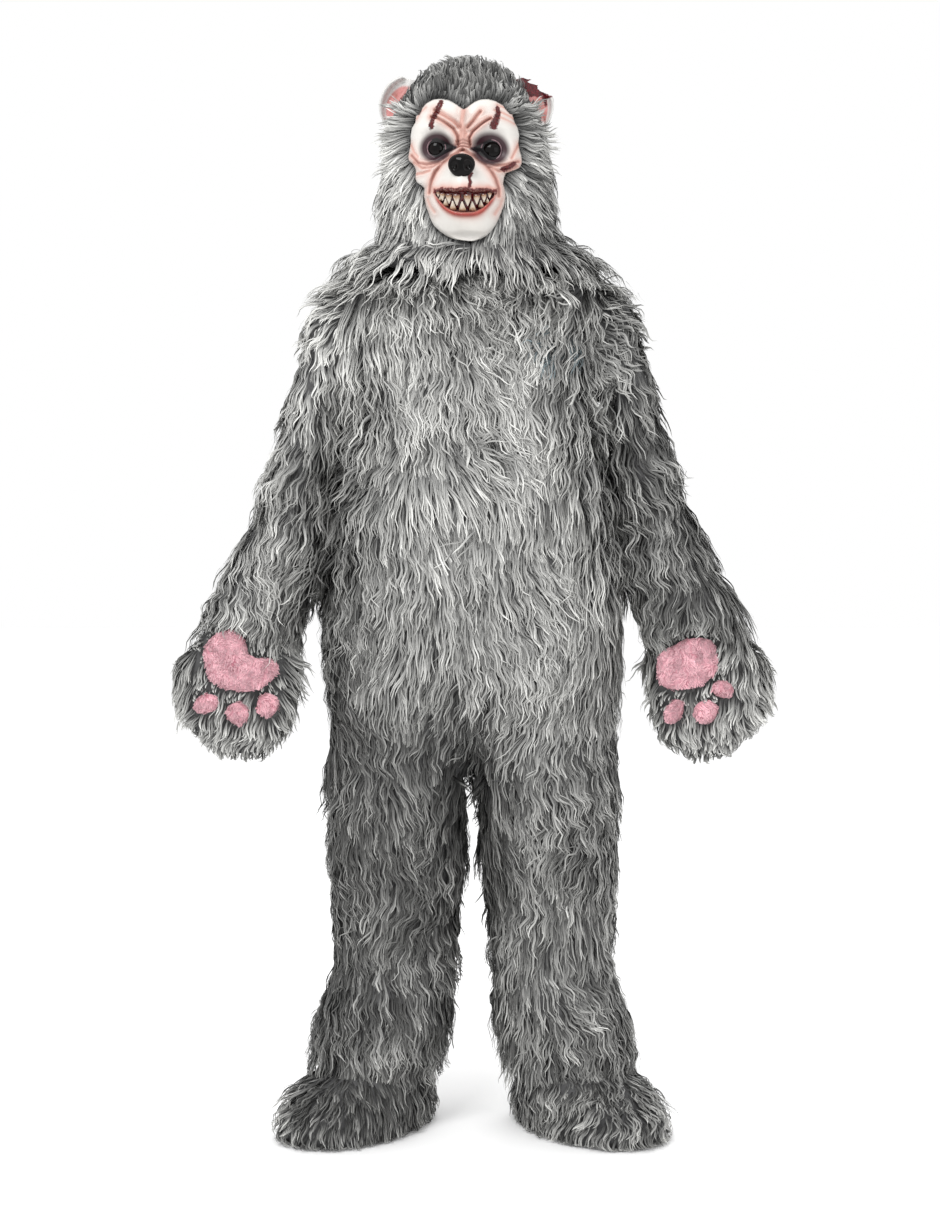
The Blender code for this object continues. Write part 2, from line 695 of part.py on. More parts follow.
def button(name, outline, surface, seat, rise, rings, back_rings, look):
    """A domed piece whose back follows the surface under it: outline gives its edge by angle."""
    sides = 14 if rise > 0.009 else 12
    angles = [math.tau * i / sides for i in range(sides)]

    def row(reach, height):
        if reach == 0:
            return [surface(0.0, 0.0, height)]
        return [surface(reach * x, reach * z, height) for x, z in map(outline, angles)]

    front = [row(r, seat + 0.002 + rise * math.sqrt(1 - r * r)) for r in rings]
    back = [row(r, seat) for r in back_rings]
    wall(name, front, back, look, closed=True)


def pad_outline(pad):
    def outline(angle):
        reach = 1 - pad.notch * math.exp(-(((angle - math.radians(250)) / 0.5) ** 2))
        reach -= pad.notch * math.exp(-(((angle - math.radians(75)) / 0.45) ** 2))
        x = pad.half_width * reach * power(math.cos(angle), pad.squareness)
        return x, pad.half_height * reach * power(math.sin(angle), pad.squareness)

    return outline


def eye(name):
    place = EYES[name]

    def surface(x, z, forward):
        return mask_point(place.x + x, place.height + z, forward)

    def outline(angle):
        return place.radius * math.cos(angle), place.radius * math.sin(angle)

    rings = (0, 0.5, 0.85, 1)
    button(f"eye_{name}", outline, surface, FACE_SEAT, EYE_RISE, rings, (0, 0.6, 1), BLACK_GLOSS)


def nose():
    def surface(x, z, forward):
        return mask_point(NOSE.x + x, NOSE.height + z, forward)

    rings = (0, 0.4, 0.75, 0.95, 1)
    outline = pad_outline(NOSE)
    button("nose", outline, surface, FACE_SEAT, NOSE_RISE, rings, (0, 0.4, 0.7, 1), BLACK_GLOSS)


def teeth(name, up):
    """A row of pointed teeth on the grin. Its points stand between those of the other row."""
    places = spread(-1, 1, TOOTH_COLUMNS)
    front, back = [], []
    for reach in (1.0, 0.5, 0.0):
        front_row, back_row = [], []
        for i, place in enumerate(places):
            x = place * MOUTH_HALF_WIDTH
            length = TOOTH_LENGTH * (1 - 0.55 * place**4)
            point = TOOTH_POINT * (1 if i % 2 else -1) * (1 - 0.6 * place**4)
            start = MOUTH_HEIGHT + MOUTH_LIFT * place * place
            bite = start + point + up * SEAT
            height = mix(bite, start + up * length, reach)
            swell = TOOTH_RISE * (0.7 + 0.3 * (up if i % 2 == 0 else -up))
            front_row.append(mask_point(x, height, FACE_SEAT + swell))
            back_row.append(mask_point(x, height, FACE_SEAT))
        front.append(front_row)
        back.append(back_row)
    wall(f"teeth_{name}", front, back, IVORY)


def ear(name, side, bites):
    """A cupped disc at the side of the head, whose root follows the fur."""
    sweep = spread(-EAR_SWEEP, EAR_SWEEP, EAR_ROWS)
    reaches = spread(0, 1, EAR_COLUMNS + 1)

    def grid(back):
        rows = []
        for angle in sweep:
            root_z = EAR_HEIGHT + EAR_ROOT_HALF_HEIGHT * math.sin(angle)
            y = -EAR_FORWARD + (EAR_WALL / 2 if back else -EAR_WALL / 2)
            section = read(HOOD, root_z)
            place = math.asin(EAR_FORWARD / section.front)
            root_x = section.half_width + pile(place, root_z * 1.4, side) + EAR_SEAT
            bite = 0.0
            for middle, half, depth in bites:
                away = (math.degrees(angle) - middle) / half
                bite = max(bite, depth * math.exp(-away * away))
            rim_x = EAR_CENTRE + EAR_REACH * math.cos(angle)
            rim_z = EAR_HEIGHT + EAR_HALF_HEIGHT * math.sin(angle)
            rim_x = max(rim_x, root_x + 0.004)
            row = []
            for reach in reaches:
                share = reach * (1 - bite)
                cup = EAR_CUP * math.sin(math.pi * min(share * 1.05, 1.0))
                cup *= math.cos(angle) ** 0.5
                point = (side * mix(root_x, rim_x, share), y + cup, mix(root_z, rim_z, share))
                row.append(turn_head(point))
            rows.append(row)
        return rows

    wall(f"ear_{name}", grid(False), grid(True), EAR_SKIN)


def mitt_point(table, wall_depth, half, row, share, side):
    """A point of a mitt: share runs from its outer edge to the edge by the thigh."""
    angle = half * math.pi * share
    if row < len(WRIST_PLACES):
        inward = FUR_WALL + SEAT + wall_depth
        x, y, z = arm_ring(WRIST_PLACES[row], angle, inward)
        seam = read(ARM, WRIST_PLACES[row]).forward
    else:
        z = max(MITT_HEIGHTS[row - len(WRIST_PLACES)], table[0].height)
        section = read(table, z)
        depth = section.front if half > 0 else section.back
        x = section.centre + section.half_width * power(math.cos(angle), MITT_ROUND)
        y = MITT_FORWARD - depth * power(math.sin(angle), MITT_ROUND)
        seam = MITT_FORWARD
    y = seam - half * max(-half * (y - seam), SEAM / 2)
    return side * x, y, z


def mitt(half_name, half, side_name, side):
    shares = spread(0, 1, MITT_COLUMNS + 1)
    rows = len(WRIST_PLACES) + len(MITT_HEIGHTS)
    inner_mitt = inset(MITT, MITT_WALL)
    inner_rows = [0, 1] + [len(WRIST_PLACES) + i for i in MITT_INSIDE_STEPS]
    outside = [[mitt_point(MITT, 0, half, r, s, side) for s in shares] for r in range(rows)]
    inside = [
        [mitt_point(inner_mitt, MITT_WALL, half, r, s, side) for s in shares] for r in inner_rows
    ]
    name = "palm" if half > 0 else "back"
    at = [float(r) for r in range(rows)]
    inner_at = [float(r) for r in inner_rows]
    wall(
        f"mitt_{name}_{side_name}",
        outside,
        inside,
        DARK_FUR,
        outside_at=at,
        inside_at=inner_at,
    )


def mitt_pad(pad, side_name, side):
    def surface(x, z, forward):
        x, z = pad.x + x, pad.height + z
        section = read(MITT, z)
        across = min(abs(x - section.centre) / section.half_width, 0.999)
        depth = section.front * (1 - across ** (2 / MITT_ROUND)) ** (MITT_ROUND / 2)
        return side * x, MITT_FORWARD - depth - forward, z

    big = pad.name == "palm_pad"
    rings = (0, 0.35, 0.7, 0.92, 1) if big else (0, 0.55, 0.88, 1)
    back_rings = (0, 0.4, 0.7, 0.88, 1) if big else (0, 0.6, 1)
    rise = PAD_RISE if big else PAD_RISE * 0.75
    seat = PALM_PAD_SEAT if big else TOE_PAD_SEAT
    name = f"{pad.name}_{side_name}"
    button(name, pad_outline(pad), surface, seat, rise, rings, back_rings, PINK_PLUSH)


def clear_scene():
    for old in list(bpy.data.objects):
        bpy.data.objects.remove(old, do_unlink=True)


def main():
    clear_scene()
    costume = bpy.data.objects.new("costume", None)
    costume.location.z = -SHOULDER_HEIGHT
    bpy.context.collection.objects.link(costume)
    for name, side in SIDES:
        for half_name, half in HALVES:
            torso_panel(half_name, half, name, side)
            mitt(half_name, half, name, side)
        sleeve(name, side)
        leg(name, side)
        boot(name, side)
        hood(name, side)
        eye(name)
        for pad in PADS[name]:
            mitt_pad(pad, name, side)
    ear("left", 1, EAR_BITES)
    ear("right", -1, ())
    mask()
    nose()
    teeth("upper", 1)
    teeth("lower", -1)


main()
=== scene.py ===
import math

import bmesh
import bpy
import numpy as np
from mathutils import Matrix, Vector, bvhtree, kdtree, noise


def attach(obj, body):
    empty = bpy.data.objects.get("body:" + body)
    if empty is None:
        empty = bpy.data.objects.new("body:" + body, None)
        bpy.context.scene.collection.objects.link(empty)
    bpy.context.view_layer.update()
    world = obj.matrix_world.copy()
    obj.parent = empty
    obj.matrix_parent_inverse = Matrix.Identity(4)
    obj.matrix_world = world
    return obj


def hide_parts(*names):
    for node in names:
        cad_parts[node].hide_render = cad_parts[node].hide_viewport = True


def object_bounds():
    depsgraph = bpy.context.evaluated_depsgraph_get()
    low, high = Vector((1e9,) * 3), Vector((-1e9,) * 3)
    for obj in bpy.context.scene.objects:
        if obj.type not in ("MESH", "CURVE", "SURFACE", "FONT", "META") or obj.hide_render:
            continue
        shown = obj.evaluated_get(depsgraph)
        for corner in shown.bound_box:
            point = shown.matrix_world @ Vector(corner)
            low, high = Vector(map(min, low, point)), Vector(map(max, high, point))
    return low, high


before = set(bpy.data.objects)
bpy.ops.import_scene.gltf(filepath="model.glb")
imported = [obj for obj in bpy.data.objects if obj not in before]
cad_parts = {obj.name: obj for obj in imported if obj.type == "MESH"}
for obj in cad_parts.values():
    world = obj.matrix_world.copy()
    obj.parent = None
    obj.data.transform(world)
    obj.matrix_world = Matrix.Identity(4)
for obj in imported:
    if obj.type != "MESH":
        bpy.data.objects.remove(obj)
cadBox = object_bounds()
bpy.ops.object.select_all(action="DESELECT")
print("frame loaded:", len(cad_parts), "nodes")

ground = -1.440  # heights in the tables below are above the ground
sides = {"left": 1, "right": -1}  # the wearer's own left is at +X

photoView = {"place": (-0.005, -4.0, -0.34), "towards": (-0.005, 0.0, -0.5363), "lens": 87.5}


def addCamera():
    bpy.ops.object.camera_add(location=photoView["place"])
    camera = bpy.context.object
    camera.name = "photoCamera"
    look = Vector(photoView["towards"]) - Vector(photoView["place"])
    camera.rotation_euler = look.to_track_quat("-Z", "Y").to_euler()
    camera.data.lens = photoView["lens"]
    camera.data.sensor_width = 36
    camera.data.sensor_fit = "HORIZONTAL"
    bpy.context.scene.camera = camera


addCamera()


def newMaterial(name, **values):
    material = bpy.data.materials.new(name)
    material.use_nodes = True
    shader = material.node_tree.nodes["Principled BSDF"]
    for socket, value in values.items():
        shader.inputs[socket.replace("_", " ")].default_value = value
    return material, material.node_tree, shader


def addNode(tree, kind, **settings):
    node = tree.nodes.new("ShaderNode" + kind)
    for key, value in settings.items():
        if hasattr(node, key):
            setattr(node, key, value)
        else:
            node.inputs[key.replace("_", " ")].default_value = value
    return node


def feed(tree, socket, value):  # a number, a colour or another node's output
    if isinstance(value, (int, float)):
        socket.default_value = value
    elif isinstance(value, tuple):
        socket.default_value = (*value, 1)
    else:
        tree.links.new(value, socket)


def mathNode(tree, operation, first, second=None):
    node = tree.nodes.new("ShaderNodeMath")
    node.operation = operation
    feed(tree, node.inputs[0], first)
    if second is not None:
        feed(tree, node.inputs[1], second)
    return node.outputs[0]


def ramp(tree, source, stops):
    node = tree.nodes.new("ShaderNodeValToRGB")
    band = node.color_ramp.elements
    while len(band) < len(stops):
        band.new(0.5)
    for element, (place, value) in zip(band, stops):
        element.position = place
        element.color = (*value, 1)
    tree.links.new(source, node.inputs[0])
    return node.outputs[0]


def grey(value):
    return (value,) * 3


def blackToWhite(tree, source, low, high):  # black below low, white above high
    return ramp(tree, source, [(low, grey(0)), (high, grey(1))])


def mixColors(tree, share, first, second, blend="MIX"):
    node = tree.nodes.new("ShaderNodeMix")
    node.data_type = "RGBA"
    node.blend_type = blend
    for index, value in ((0, share), (6, first), (7, second)):  # factor, A and B of a colour mix
        feed(tree, node.inputs[index], value)
    return node.outputs[2]


def addBump(tree, shader, height, strength, distance):
    bump = addNode(tree, "Bump", Strength=strength, Distance=distance)
    tree.links.new(height, bump.inputs["Height"])
    tree.links.new(bump.outputs[0], shader.inputs["Normal"])


def newGroup(name, inputs, outputs):
    group = bpy.data.node_groups.new(name, "ShaderNodeTree")
    for way, sockets in (("INPUT", inputs), ("OUTPUT", outputs)):
        for socket, kind in sockets.items():
            group.interface.new_socket(name=socket, in_out=way, socket_type="NodeSocket" + kind)
    return group, group.nodes.new("NodeGroupInput").outputs, group.nodes.new("NodeGroupOutput").inputs


def placeGroup(tree, group, **values):
    node = tree.nodes.new("ShaderNodeGroup")
    node.node_tree = group
    for socket, value in values.items():
        feed(tree, node.inputs[socket], value)
    return node.outputs


def makeCloudGroup():  # two tones mixed by a noise, between its values Low and High
    numbers = ("Scale", "Detail", "Roughness", "Low", "High")
    inputs = {"Place": "Vector", **{name: "Float" for name in numbers}, "First": "Color", "Second": "Color"}
    group, given, made = newGroup("cloudyTone", inputs, {"Colour": "Color", "Cloud": "Float"})
    cloud = addNode(group, "TexNoise")
    group.links.new(given["Place"], cloud.inputs["Vector"])
    for name in ("Scale", "Detail", "Roughness"):
        group.links.new(given[name], cloud.inputs[name])
    share = addNode(group, "MapRange")
    group.links.new(cloud.outputs["Fac"], share.inputs["Value"])
    group.links.new(given["Low"], share.inputs["From Min"])
    group.links.new(given["High"], share.inputs["From Max"])
    colour = mixColors(group, share.outputs[0], given["First"], given["Second"])
    group.links.new(colour, made["Colour"])
    group.links.new(cloud.outputs["Fac"], made["Cloud"])
    return group


cloudGroup = makeCloudGroup()


def cloudy(tree, scale, detail, first, second, low=0.3, high=0.7, roughness=0.5):
    place = addNode(tree, "TexCoord").outputs["Object"]
    made = placeGroup(tree, cloudGroup, Place=place, Scale=scale, Detail=detail, Roughness=roughness,
                      Low=low, High=high, First=first, Second=second)
    return made["Colour"], made["Cloud"]


def paintedMasks(tree, layer):  # the masks painted on the mesh, one in each colour channel
    parts = addNode(tree, "SeparateColor")
    tree.links.new(addNode(tree, "VertexColor", layer_name=layer).outputs[0], parts.inputs[0])
    return parts.outputs


def roughened(tree, mask, grain, amount):  # a painted mask with its edge broken up by the grain
    return mathNode(tree, "ADD", mask, mathNode(tree, "MULTIPLY", mathNode(tree, "SUBTRACT", grain, 0.5), amount))


furTones = 24  # stripes of the fur map, dark to light


def makeStrandGroup():  # tone, streaks and root-to-tip colour of one strand, for every fur and the plush
    colours = {"Root": "Color", "Middle": "Color", "Tip": "Color"}
    group, given, made = newGroup("furStrand", {"Map": "Vector", **colours}, {"Colour": "Color", "Streak": "Float"})
    parts = addNode(group, "SeparateXYZ")
    group.links.new(given["Map"], parts.inputs[0])
    along, lane = parts.outputs[0], parts.outputs[1]
    stripe = mathNode(group, "FLOOR", mathNode(group, "MULTIPLY", lane, furTones))
    tone = mathNode(group, "DIVIDE", stripe, furTones - 1)
    shade = mixColors(group, blackToWhite(group, along, 0.0, 0.35), given["Root"], given["Middle"])
    shade = mixColors(group, blackToWhite(group, along, 0.35, 0.85), shade, given["Tip"])
    streaks = addNode(group, "TexNoise", Scale=1.0, Detail=3.0, Roughness=0.7)
    stretch = addNode(group, "CombineXYZ")
    group.links.new(mathNode(group, "MULTIPLY", along, 3.0), stretch.inputs[0])
    group.links.new(mathNode(group, "MULTIPLY", lane, furTones * 9.0), stretch.inputs[1])
    group.links.new(stretch.outputs[0], streaks.inputs["Vector"])
    streak = ramp(group, streaks.outputs["Fac"], [(0.30, grey(0.45)), (0.70, grey(1.5))])
    toned = ramp(group, tone, [(0.0, grey(0.18)), (0.5, grey(0.80)), (1.0, grey(1.50))])
    colour = mixColors(group, 1.0, shade, toned, "MULTIPLY")
    group.links.new(mixColors(group, 1.0, colour, streak, "MULTIPLY"), made["Colour"])
    group.links.new(streaks.outputs["Fac"], made["Streak"])
    return group


strandGroup = makeStrandGroup()


def makeFurMaterial(name, root, middle, tip, roughness=0.62):
    material, tree, shader = newMaterial(name, Roughness=roughness, Specular_IOR_Level=0.35)
    uv = addNode(tree, "UVMap", uv_map="furMap").outputs[0]
    strand = placeGroup(tree, strandGroup, Map=uv, Root=root, Middle=middle, Tip=tip)
    tree.links.new(strand["Colour"], shader.inputs["Base Color"])
    addBump(tree, shader, strand["Streak"], 0.35, 0.001)
    return material


def makeBackingMaterial():
    material, tree, shader = newMaterial("knitBacking", Roughness=0.95, Specular_IOR_Level=0.15)
    colour, _ = cloudy(tree, 14.0, 3.0, (0.055, 0.055, 0.056), (0.105, 0.105, 0.106))
    tree.links.new(colour, shader.inputs["Base Color"])
    knit = addNode(tree, "TexVoronoi", Scale=420.0)
    tree.links.new(addNode(tree, "TexCoord").outputs["Object"], knit.inputs["Vector"])
    addBump(tree, shader, knit.outputs["Distance"], 0.5, 0.0006)
    return material


backingMaterial = makeBackingMaterial()


def heightOf(points):
    return points[:, 2] - ground


def sideOf(points):
    return 1 if points[0, 0] > 0 else -1


def between(values, low, high):  # 0 below low, 1 above high, smooth between them
    share = np.clip((values - low) / (high - low), 0, 1)
    return share * share * (3 - 2 * share)


def bell(off, width, off2=0.0, width2=1.0):  # 1 in the middle, falling off at the width
    return np.exp(-((off / width) ** 2) - (off2 / width2) ** 2)


def unit(vectors):
    return vectors / np.maximum(np.linalg.norm(vectors, axis=-1, keepdims=True), 1e-9)


def areasOf(corners):
    return np.linalg.norm(np.cross(corners[:, 1] - corners[:, 0], corners[:, 2] - corners[:, 0]), axis=1) / 2


def noiseAt(places, size, seed):
    return np.array([noise.noise(Vector(place) / size + Vector((seed, seed * 2.3, 0))) for place in places])


def startPiece(name, primitive, **sizes):
    bpy.ops.object.select_all(action="DESELECT")
    primitive(**sizes)
    piece = bpy.context.object
    piece.name = name
    return piece, np.array([v.co for v in piece.data.vertices])


def activate(piece):
    bpy.ops.object.select_all(action="DESELECT")
    piece.select_set(True)
    bpy.context.view_layer.objects.active = piece


def turnOutwards():  # the faces of the active piece
    bpy.ops.object.mode_set(mode="EDIT")
    bpy.ops.mesh.select_all(action="SELECT")
    bpy.ops.mesh.normals_make_consistent(inside=False)
    bpy.ops.object.mode_set(mode="OBJECT")


def addWall(piece, thick, offset=-1):
    wall = piece.modifiers.new("wall", "SOLIDIFY")
    wall.thickness = thick
    wall.offset = offset
    bpy.ops.object.modifier_apply(modifier="wall")


def placeVertices(piece, places):
    piece.data.vertices.foreach_set("co", np.asarray(places, np.float32).ravel())
    piece.data.update()


def finishPiece(piece, material, node=None):
    piece.data.materials.clear()
    piece.data.materials.append(material)
    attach(piece, "root")
    if node:
        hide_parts(node)
    piece.select_set(False)


# middle line of each tube of the suit, for telling its outside from its inside
middles = {
    "torso": [(0.1265, 0, 0.60), (0.074, 0, 0.67), (0.029, 0, 0.75), (0, 0, 0.86), (0, 0, 1.45)],
    "leg": [(0.1665, 0, 0.135), (0.137, 0, 0.294), (0.1325, 0, 0.469), (0.1265, 0, 0.60)],
    "boot": [(0.205, -0.058, 0.0), (0.200, -0.050, 0.06), (0.1685, 0, 0.13), (0.160, 0, 0.20)],
    "hood": [(0, 0, 1.484), (-0.005, 0, 1.56), (-0.010, 0, 1.73)],
    "sleeve": [
        (0.219, 0, 1.363), (0.240, 0, 1.353), (0.2545, 0, 1.330), (0.2655, 0, 1.290),
        (0.2765, 0, 1.237), (0.2885, -0.004, 1.174), (0.304, -0.010, 1.099),
        (0.3255, -0.018, 1.021), (0.353, -0.026, 0.949), (0.381, -0.032, 0.8865),
    ],
    "mitt": [(0.405, -0.034, 0.66), (0.405, -0.034, 0.82), (0.3815, -0.032, 0.8865), (0.353, -0.026, 0.949)],
}


def middleLine(kind, side):
    turn = 1 if kind == "hood" else side
    return np.array([(turn * x, y, z + ground) for x, y, z in middles[kind]])


def awayFromLine(points, line):
    best = np.full(len(points), np.inf)
    away = np.zeros_like(points)
    runs = np.zeros_like(points)
    for start, end in zip(line, line[1:]):
        run = end - start
        share = np.clip((points - start) @ run / (run @ run), 0, 1)
        offset = points - (start + share[:, None] * run)
        reach = np.linalg.norm(offset, axis=1)
        nearer = reach < best
        best = np.where(nearer, reach, best)
        away[nearer] = offset[nearer]
        runs[nearer] = run / np.linalg.norm(run)
    return away / np.maximum(np.linalg.norm(away, axis=1), 1e-6)[:, None], runs


backing = {
    "thick": 0.0015, "inside": 0.22,  # faces that turn this little from the middle line are the wall's inside
    "depth": {"torso": 0.009, "sleeve": 0.009, "leg": 0.010, "boot": 0.010, "hood": 0.010, "mitt": 0.007},
    "deeperAtNeck": 0.009, "shallowerAtCape": 0.006,  # the hood's cape lies over the suit's shoulders
}


def addBacking(node, kind, side):
    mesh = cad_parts[node].data.copy()
    cloth = bpy.data.objects.new("cloth_" + node, mesh)
    bpy.context.collection.objects.link(cloth)
    form = bmesh.new()
    form.from_mesh(mesh)
    bmesh.ops.remove_doubles(form, verts=form.verts, dist=0.00002)
    form.normal_update()
    faces = list(form.faces)
    centres = np.array([face.calc_center_median() for face in faces])
    normals = np.array([face.normal for face in faces])
    away, _ = awayFromLine(centres, middleLine(kind, side))
    inside = (normals * away).sum(1) < backing["inside"]
    bmesh.ops.delete(form, geom=[f for f, gone in zip(faces, inside) if gone], context="FACES")
    bmesh.ops.dissolve_degenerate(form, dist=0.00001, edges=form.edges)
    form.normal_update()
    form.to_mesh(mesh)
    form.free()
    activate(cloth)
    smoother = cloth.modifiers.new("smooth", "SUBSURF")
    smoother.levels = smoother.render_levels = 1
    smoother.boundary_smooth = "PRESERVE_CORNERS"
    bpy.ops.object.modifier_apply(modifier="smooth")
    count = len(mesh.vertices)
    places = np.zeros(count * 3, np.float32)
    ways = np.zeros(count * 3, np.float32)
    mesh.vertices.foreach_get("co", places)
    mesh.vertex_normals.foreach_get("vector", ways)
    places, ways = places.reshape(-1, 3), ways.reshape(-1, 3)
    seam = np.abs(places[:, 0]) < (0.026 if kind == "hood" else 0.0025)
    if kind in ("torso", "hood"):
        rim = np.zeros(count, bool)
        rim[[v for edge in openEdges(mesh) for v in edge]] = True
        ways[seam & (rim | (kind == "torso")), 0] = 0
    high = heightOf(places)
    depth = backing["depth"][kind]
    if kind == "torso":
        depth = depth + backing["deeperAtNeck"] * between(high, 1.44, 1.49)
    if kind == "hood":
        depth = depth - backing["shallowerAtCape"] * (1 - between(high, 1.50, 1.54))
    placeVertices(cloth, places - np.reshape(depth, (-1, 1)) * ways)
    skin = readSurface(mesh)
    print(cloth.name, "area", round(float(areasOf(skin[0]).sum()), 4))
    addWall(cloth, backing["thick"])
    mesh.shade_smooth()
    finishPiece(cloth, backingMaterial, node)
    return cloth, skin


def openEdges(mesh):
    form = bmesh.new()
    form.from_mesh(mesh)
    found = [(edge.verts[0].index, edge.verts[1].index) for edge in form.edges if edge.is_boundary]
    form.free()
    return found


def readSurface(mesh):
    mesh.calc_loop_triangles()
    places = np.zeros(len(mesh.vertices) * 3, np.float32)
    ways = np.zeros(len(mesh.vertices) * 3, np.float32)
    corners = np.zeros(len(mesh.loop_triangles) * 3, np.int32)
    mesh.vertices.foreach_get("co", places)
    mesh.vertex_normals.foreach_get("vector", ways)
    mesh.loop_triangles.foreach_get("vertices", corners)
    corners = corners.reshape(-1, 3)
    return places.reshape(-1, 3).astype(float)[corners], ways.reshape(-1, 3).astype(float)[corners]


def scatter(surface, count, chance):
    corners, ways = surface
    sizes = areasOf(corners)
    order = np.argsort(corners[:, :, 2].mean(1) // 0.03 + 1e-3 * corners[:, :, 0].mean(1))
    reach = np.cumsum(sizes[order])
    wanted = (np.arange(count) + chance.random(count)) * reach[-1] / count
    chosen = order[np.searchsorted(reach, wanted).clip(0, len(order) - 1)]
    first, second = chance.random(count), chance.random(count)
    over = first + second > 1
    first[over], second[over] = 1 - first[over], 1 - second[over]
    shares = np.stack([1 - first - second, first, second], 1)[:, :, None]
    return (corners[chosen] * shares).sum(1), unit((ways[chosen] * shares).sum(1))


neighbours = [(x, y, z) for x in (-1, 0, 1) for y in (-1, 0, 1) for z in (-1, 0, 1)]


def spreadCentres(places, spacing):
    cells, kept = {}, []
    for index, place in enumerate(places):
        cell = tuple((place // spacing).astype(int))
        beside = [
            other for x, y, z in neighbours
            for other in cells.get((cell[0] + x, cell[1] + y, cell[2] + z), ())
        ]
        if all(np.dot(places[other] - place, places[other] - place) >= spacing * spacing for other in beside):
            cells.setdefault(cell, []).append(index)
            kept.append(index)
    return np.array(kept)


def downGrain(points):
    return -points[:, 2]


holding = {"margin": 0.004, "share": 0.55}  # fur past the CAD box is drawn this much back to it


def holdIn(path):
    for axis in range(3):
        low, high = cadBox[0][axis], cadBox[1][axis]
        under = np.minimum(path[..., axis] - low - holding["margin"], 0)
        over = np.maximum(path[..., axis] - high + holding["margin"], 0)
        path[..., axis] += -under * holding["share"] - over * holding["share"]
    return path


lock = {  # how much the locks of one fur differ
    "thinnerBehind": 0.45, "widerBehind": 0.4, "mostSparse": 12000,
    "clumpLength": (0.16, 0.6, 1.35), "clumpLift": (0.35, 0.2, 2.0), "lockLength": (0.12, 0.55, 1.4),
    "phase": 0.30, "curl": 0.55, "lean": 0.25, "edgeTurn": 0.55,
    "taper": ([0, 0.15, 0.45, 0.75, 0.92, 1], [0.6, 0.95, 1.0, 0.72, 0.35, 0.0]),
}


def varied(chance, count, name):  # factors about 1, with their spread, least and most
    spread, least, most = lock[name]
    return (1 + spread * chance.normal(0, 1, count)).clip(least, most)


def rootsOf(surface, look, chance):
    count = int(areasOf(surface[0]).sum() * look["density"])
    roots, ups = scatter(surface, count, chance)
    behind = between(ups[:, 1], 0.15, 0.6) * look.get("thinBack", 0)
    keep = chance.random(count) > lock["thinnerBehind"] * behind
    if "keep" in look:
        keep &= look["keep"](roots, ups)
    return roots[keep], ups[keep], behind[keep]


def clumpsOf(roots, look, chance):  # the middle lock of each clump, and the clump that each lock is in
    sparse = chance.permutation(len(roots))[: min(len(roots), lock["mostSparse"])]
    centres = sparse[spreadCentres(roots[sparse], look["clump"])]
    tree = kdtree.KDTree(len(centres))
    for index, centre in enumerate(centres):
        tree.insert(Vector(roots[centre]), index)
    tree.balance()
    return centres, np.array([tree.find(Vector(root))[1] for root in roots])


def ribbonMesh(name, points, facing, along, tone):
    count, perLock = points.shape[:2]
    steps = len(along) - 1
    tip = 2 * steps
    quads = [(2 * i, 2 * i + 1, 2 * i + 3, 2 * i + 2) for i in range(steps - 1)]
    loops = np.array([corner for quad in quads for corner in quad] + [tip - 2, tip - 1, tip])
    allLoops = (loops[None, :] + perLock * np.arange(count)[:, None]).ravel()
    sizes = np.tile(np.array([4] * (steps - 1) + [3]), count)
    mesh = bpy.data.meshes.new(name)
    mesh.vertices.add(count * perLock)
    mesh.vertices.foreach_set("co", points.astype(np.float32).ravel())
    mesh.loops.add(len(allLoops))
    mesh.loops.foreach_set("vertex_index", allLoops.astype(np.int32))
    mesh.polygons.add(len(sizes))
    mesh.polygons.foreach_set("loop_start", np.concatenate([[0], np.cumsum(sizes)[:-1]]).astype(np.int32))
    mesh.update(calc_edges=True)

    # across the map lies the lock, root to tip, and up it lie the tones
    stripe = np.clip((tone * furTones).astype(int), 0, furTones - 1)
    alongOf, acrossOf = np.zeros(perLock), np.zeros(perLock)
    alongOf[0:tip:2] = alongOf[1:tip:2] = along[:steps]
    alongOf[tip] = 1
    acrossOf[1:tip:2] = 1
    acrossOf[tip] = 0.5
    u = np.tile(0.02 + 0.96 * alongOf[loops], count)
    v = (stripe[:, None] + 0.1 + 0.8 * acrossOf[loops][None, :]).ravel() / furTones
    for mapName in ("furMap", "OFBake"):
        layer = mesh.uv_layers.new(name=mapName)
        layer.uv.foreach_set("vector", np.stack([u, v], 1).astype(np.float32).ravel())
    mesh.shade_smooth()
    mesh.normals_split_custom_set_from_vertices(unit(facing.reshape(-1, 3)))
    return mesh, int((sizes - 2).sum())


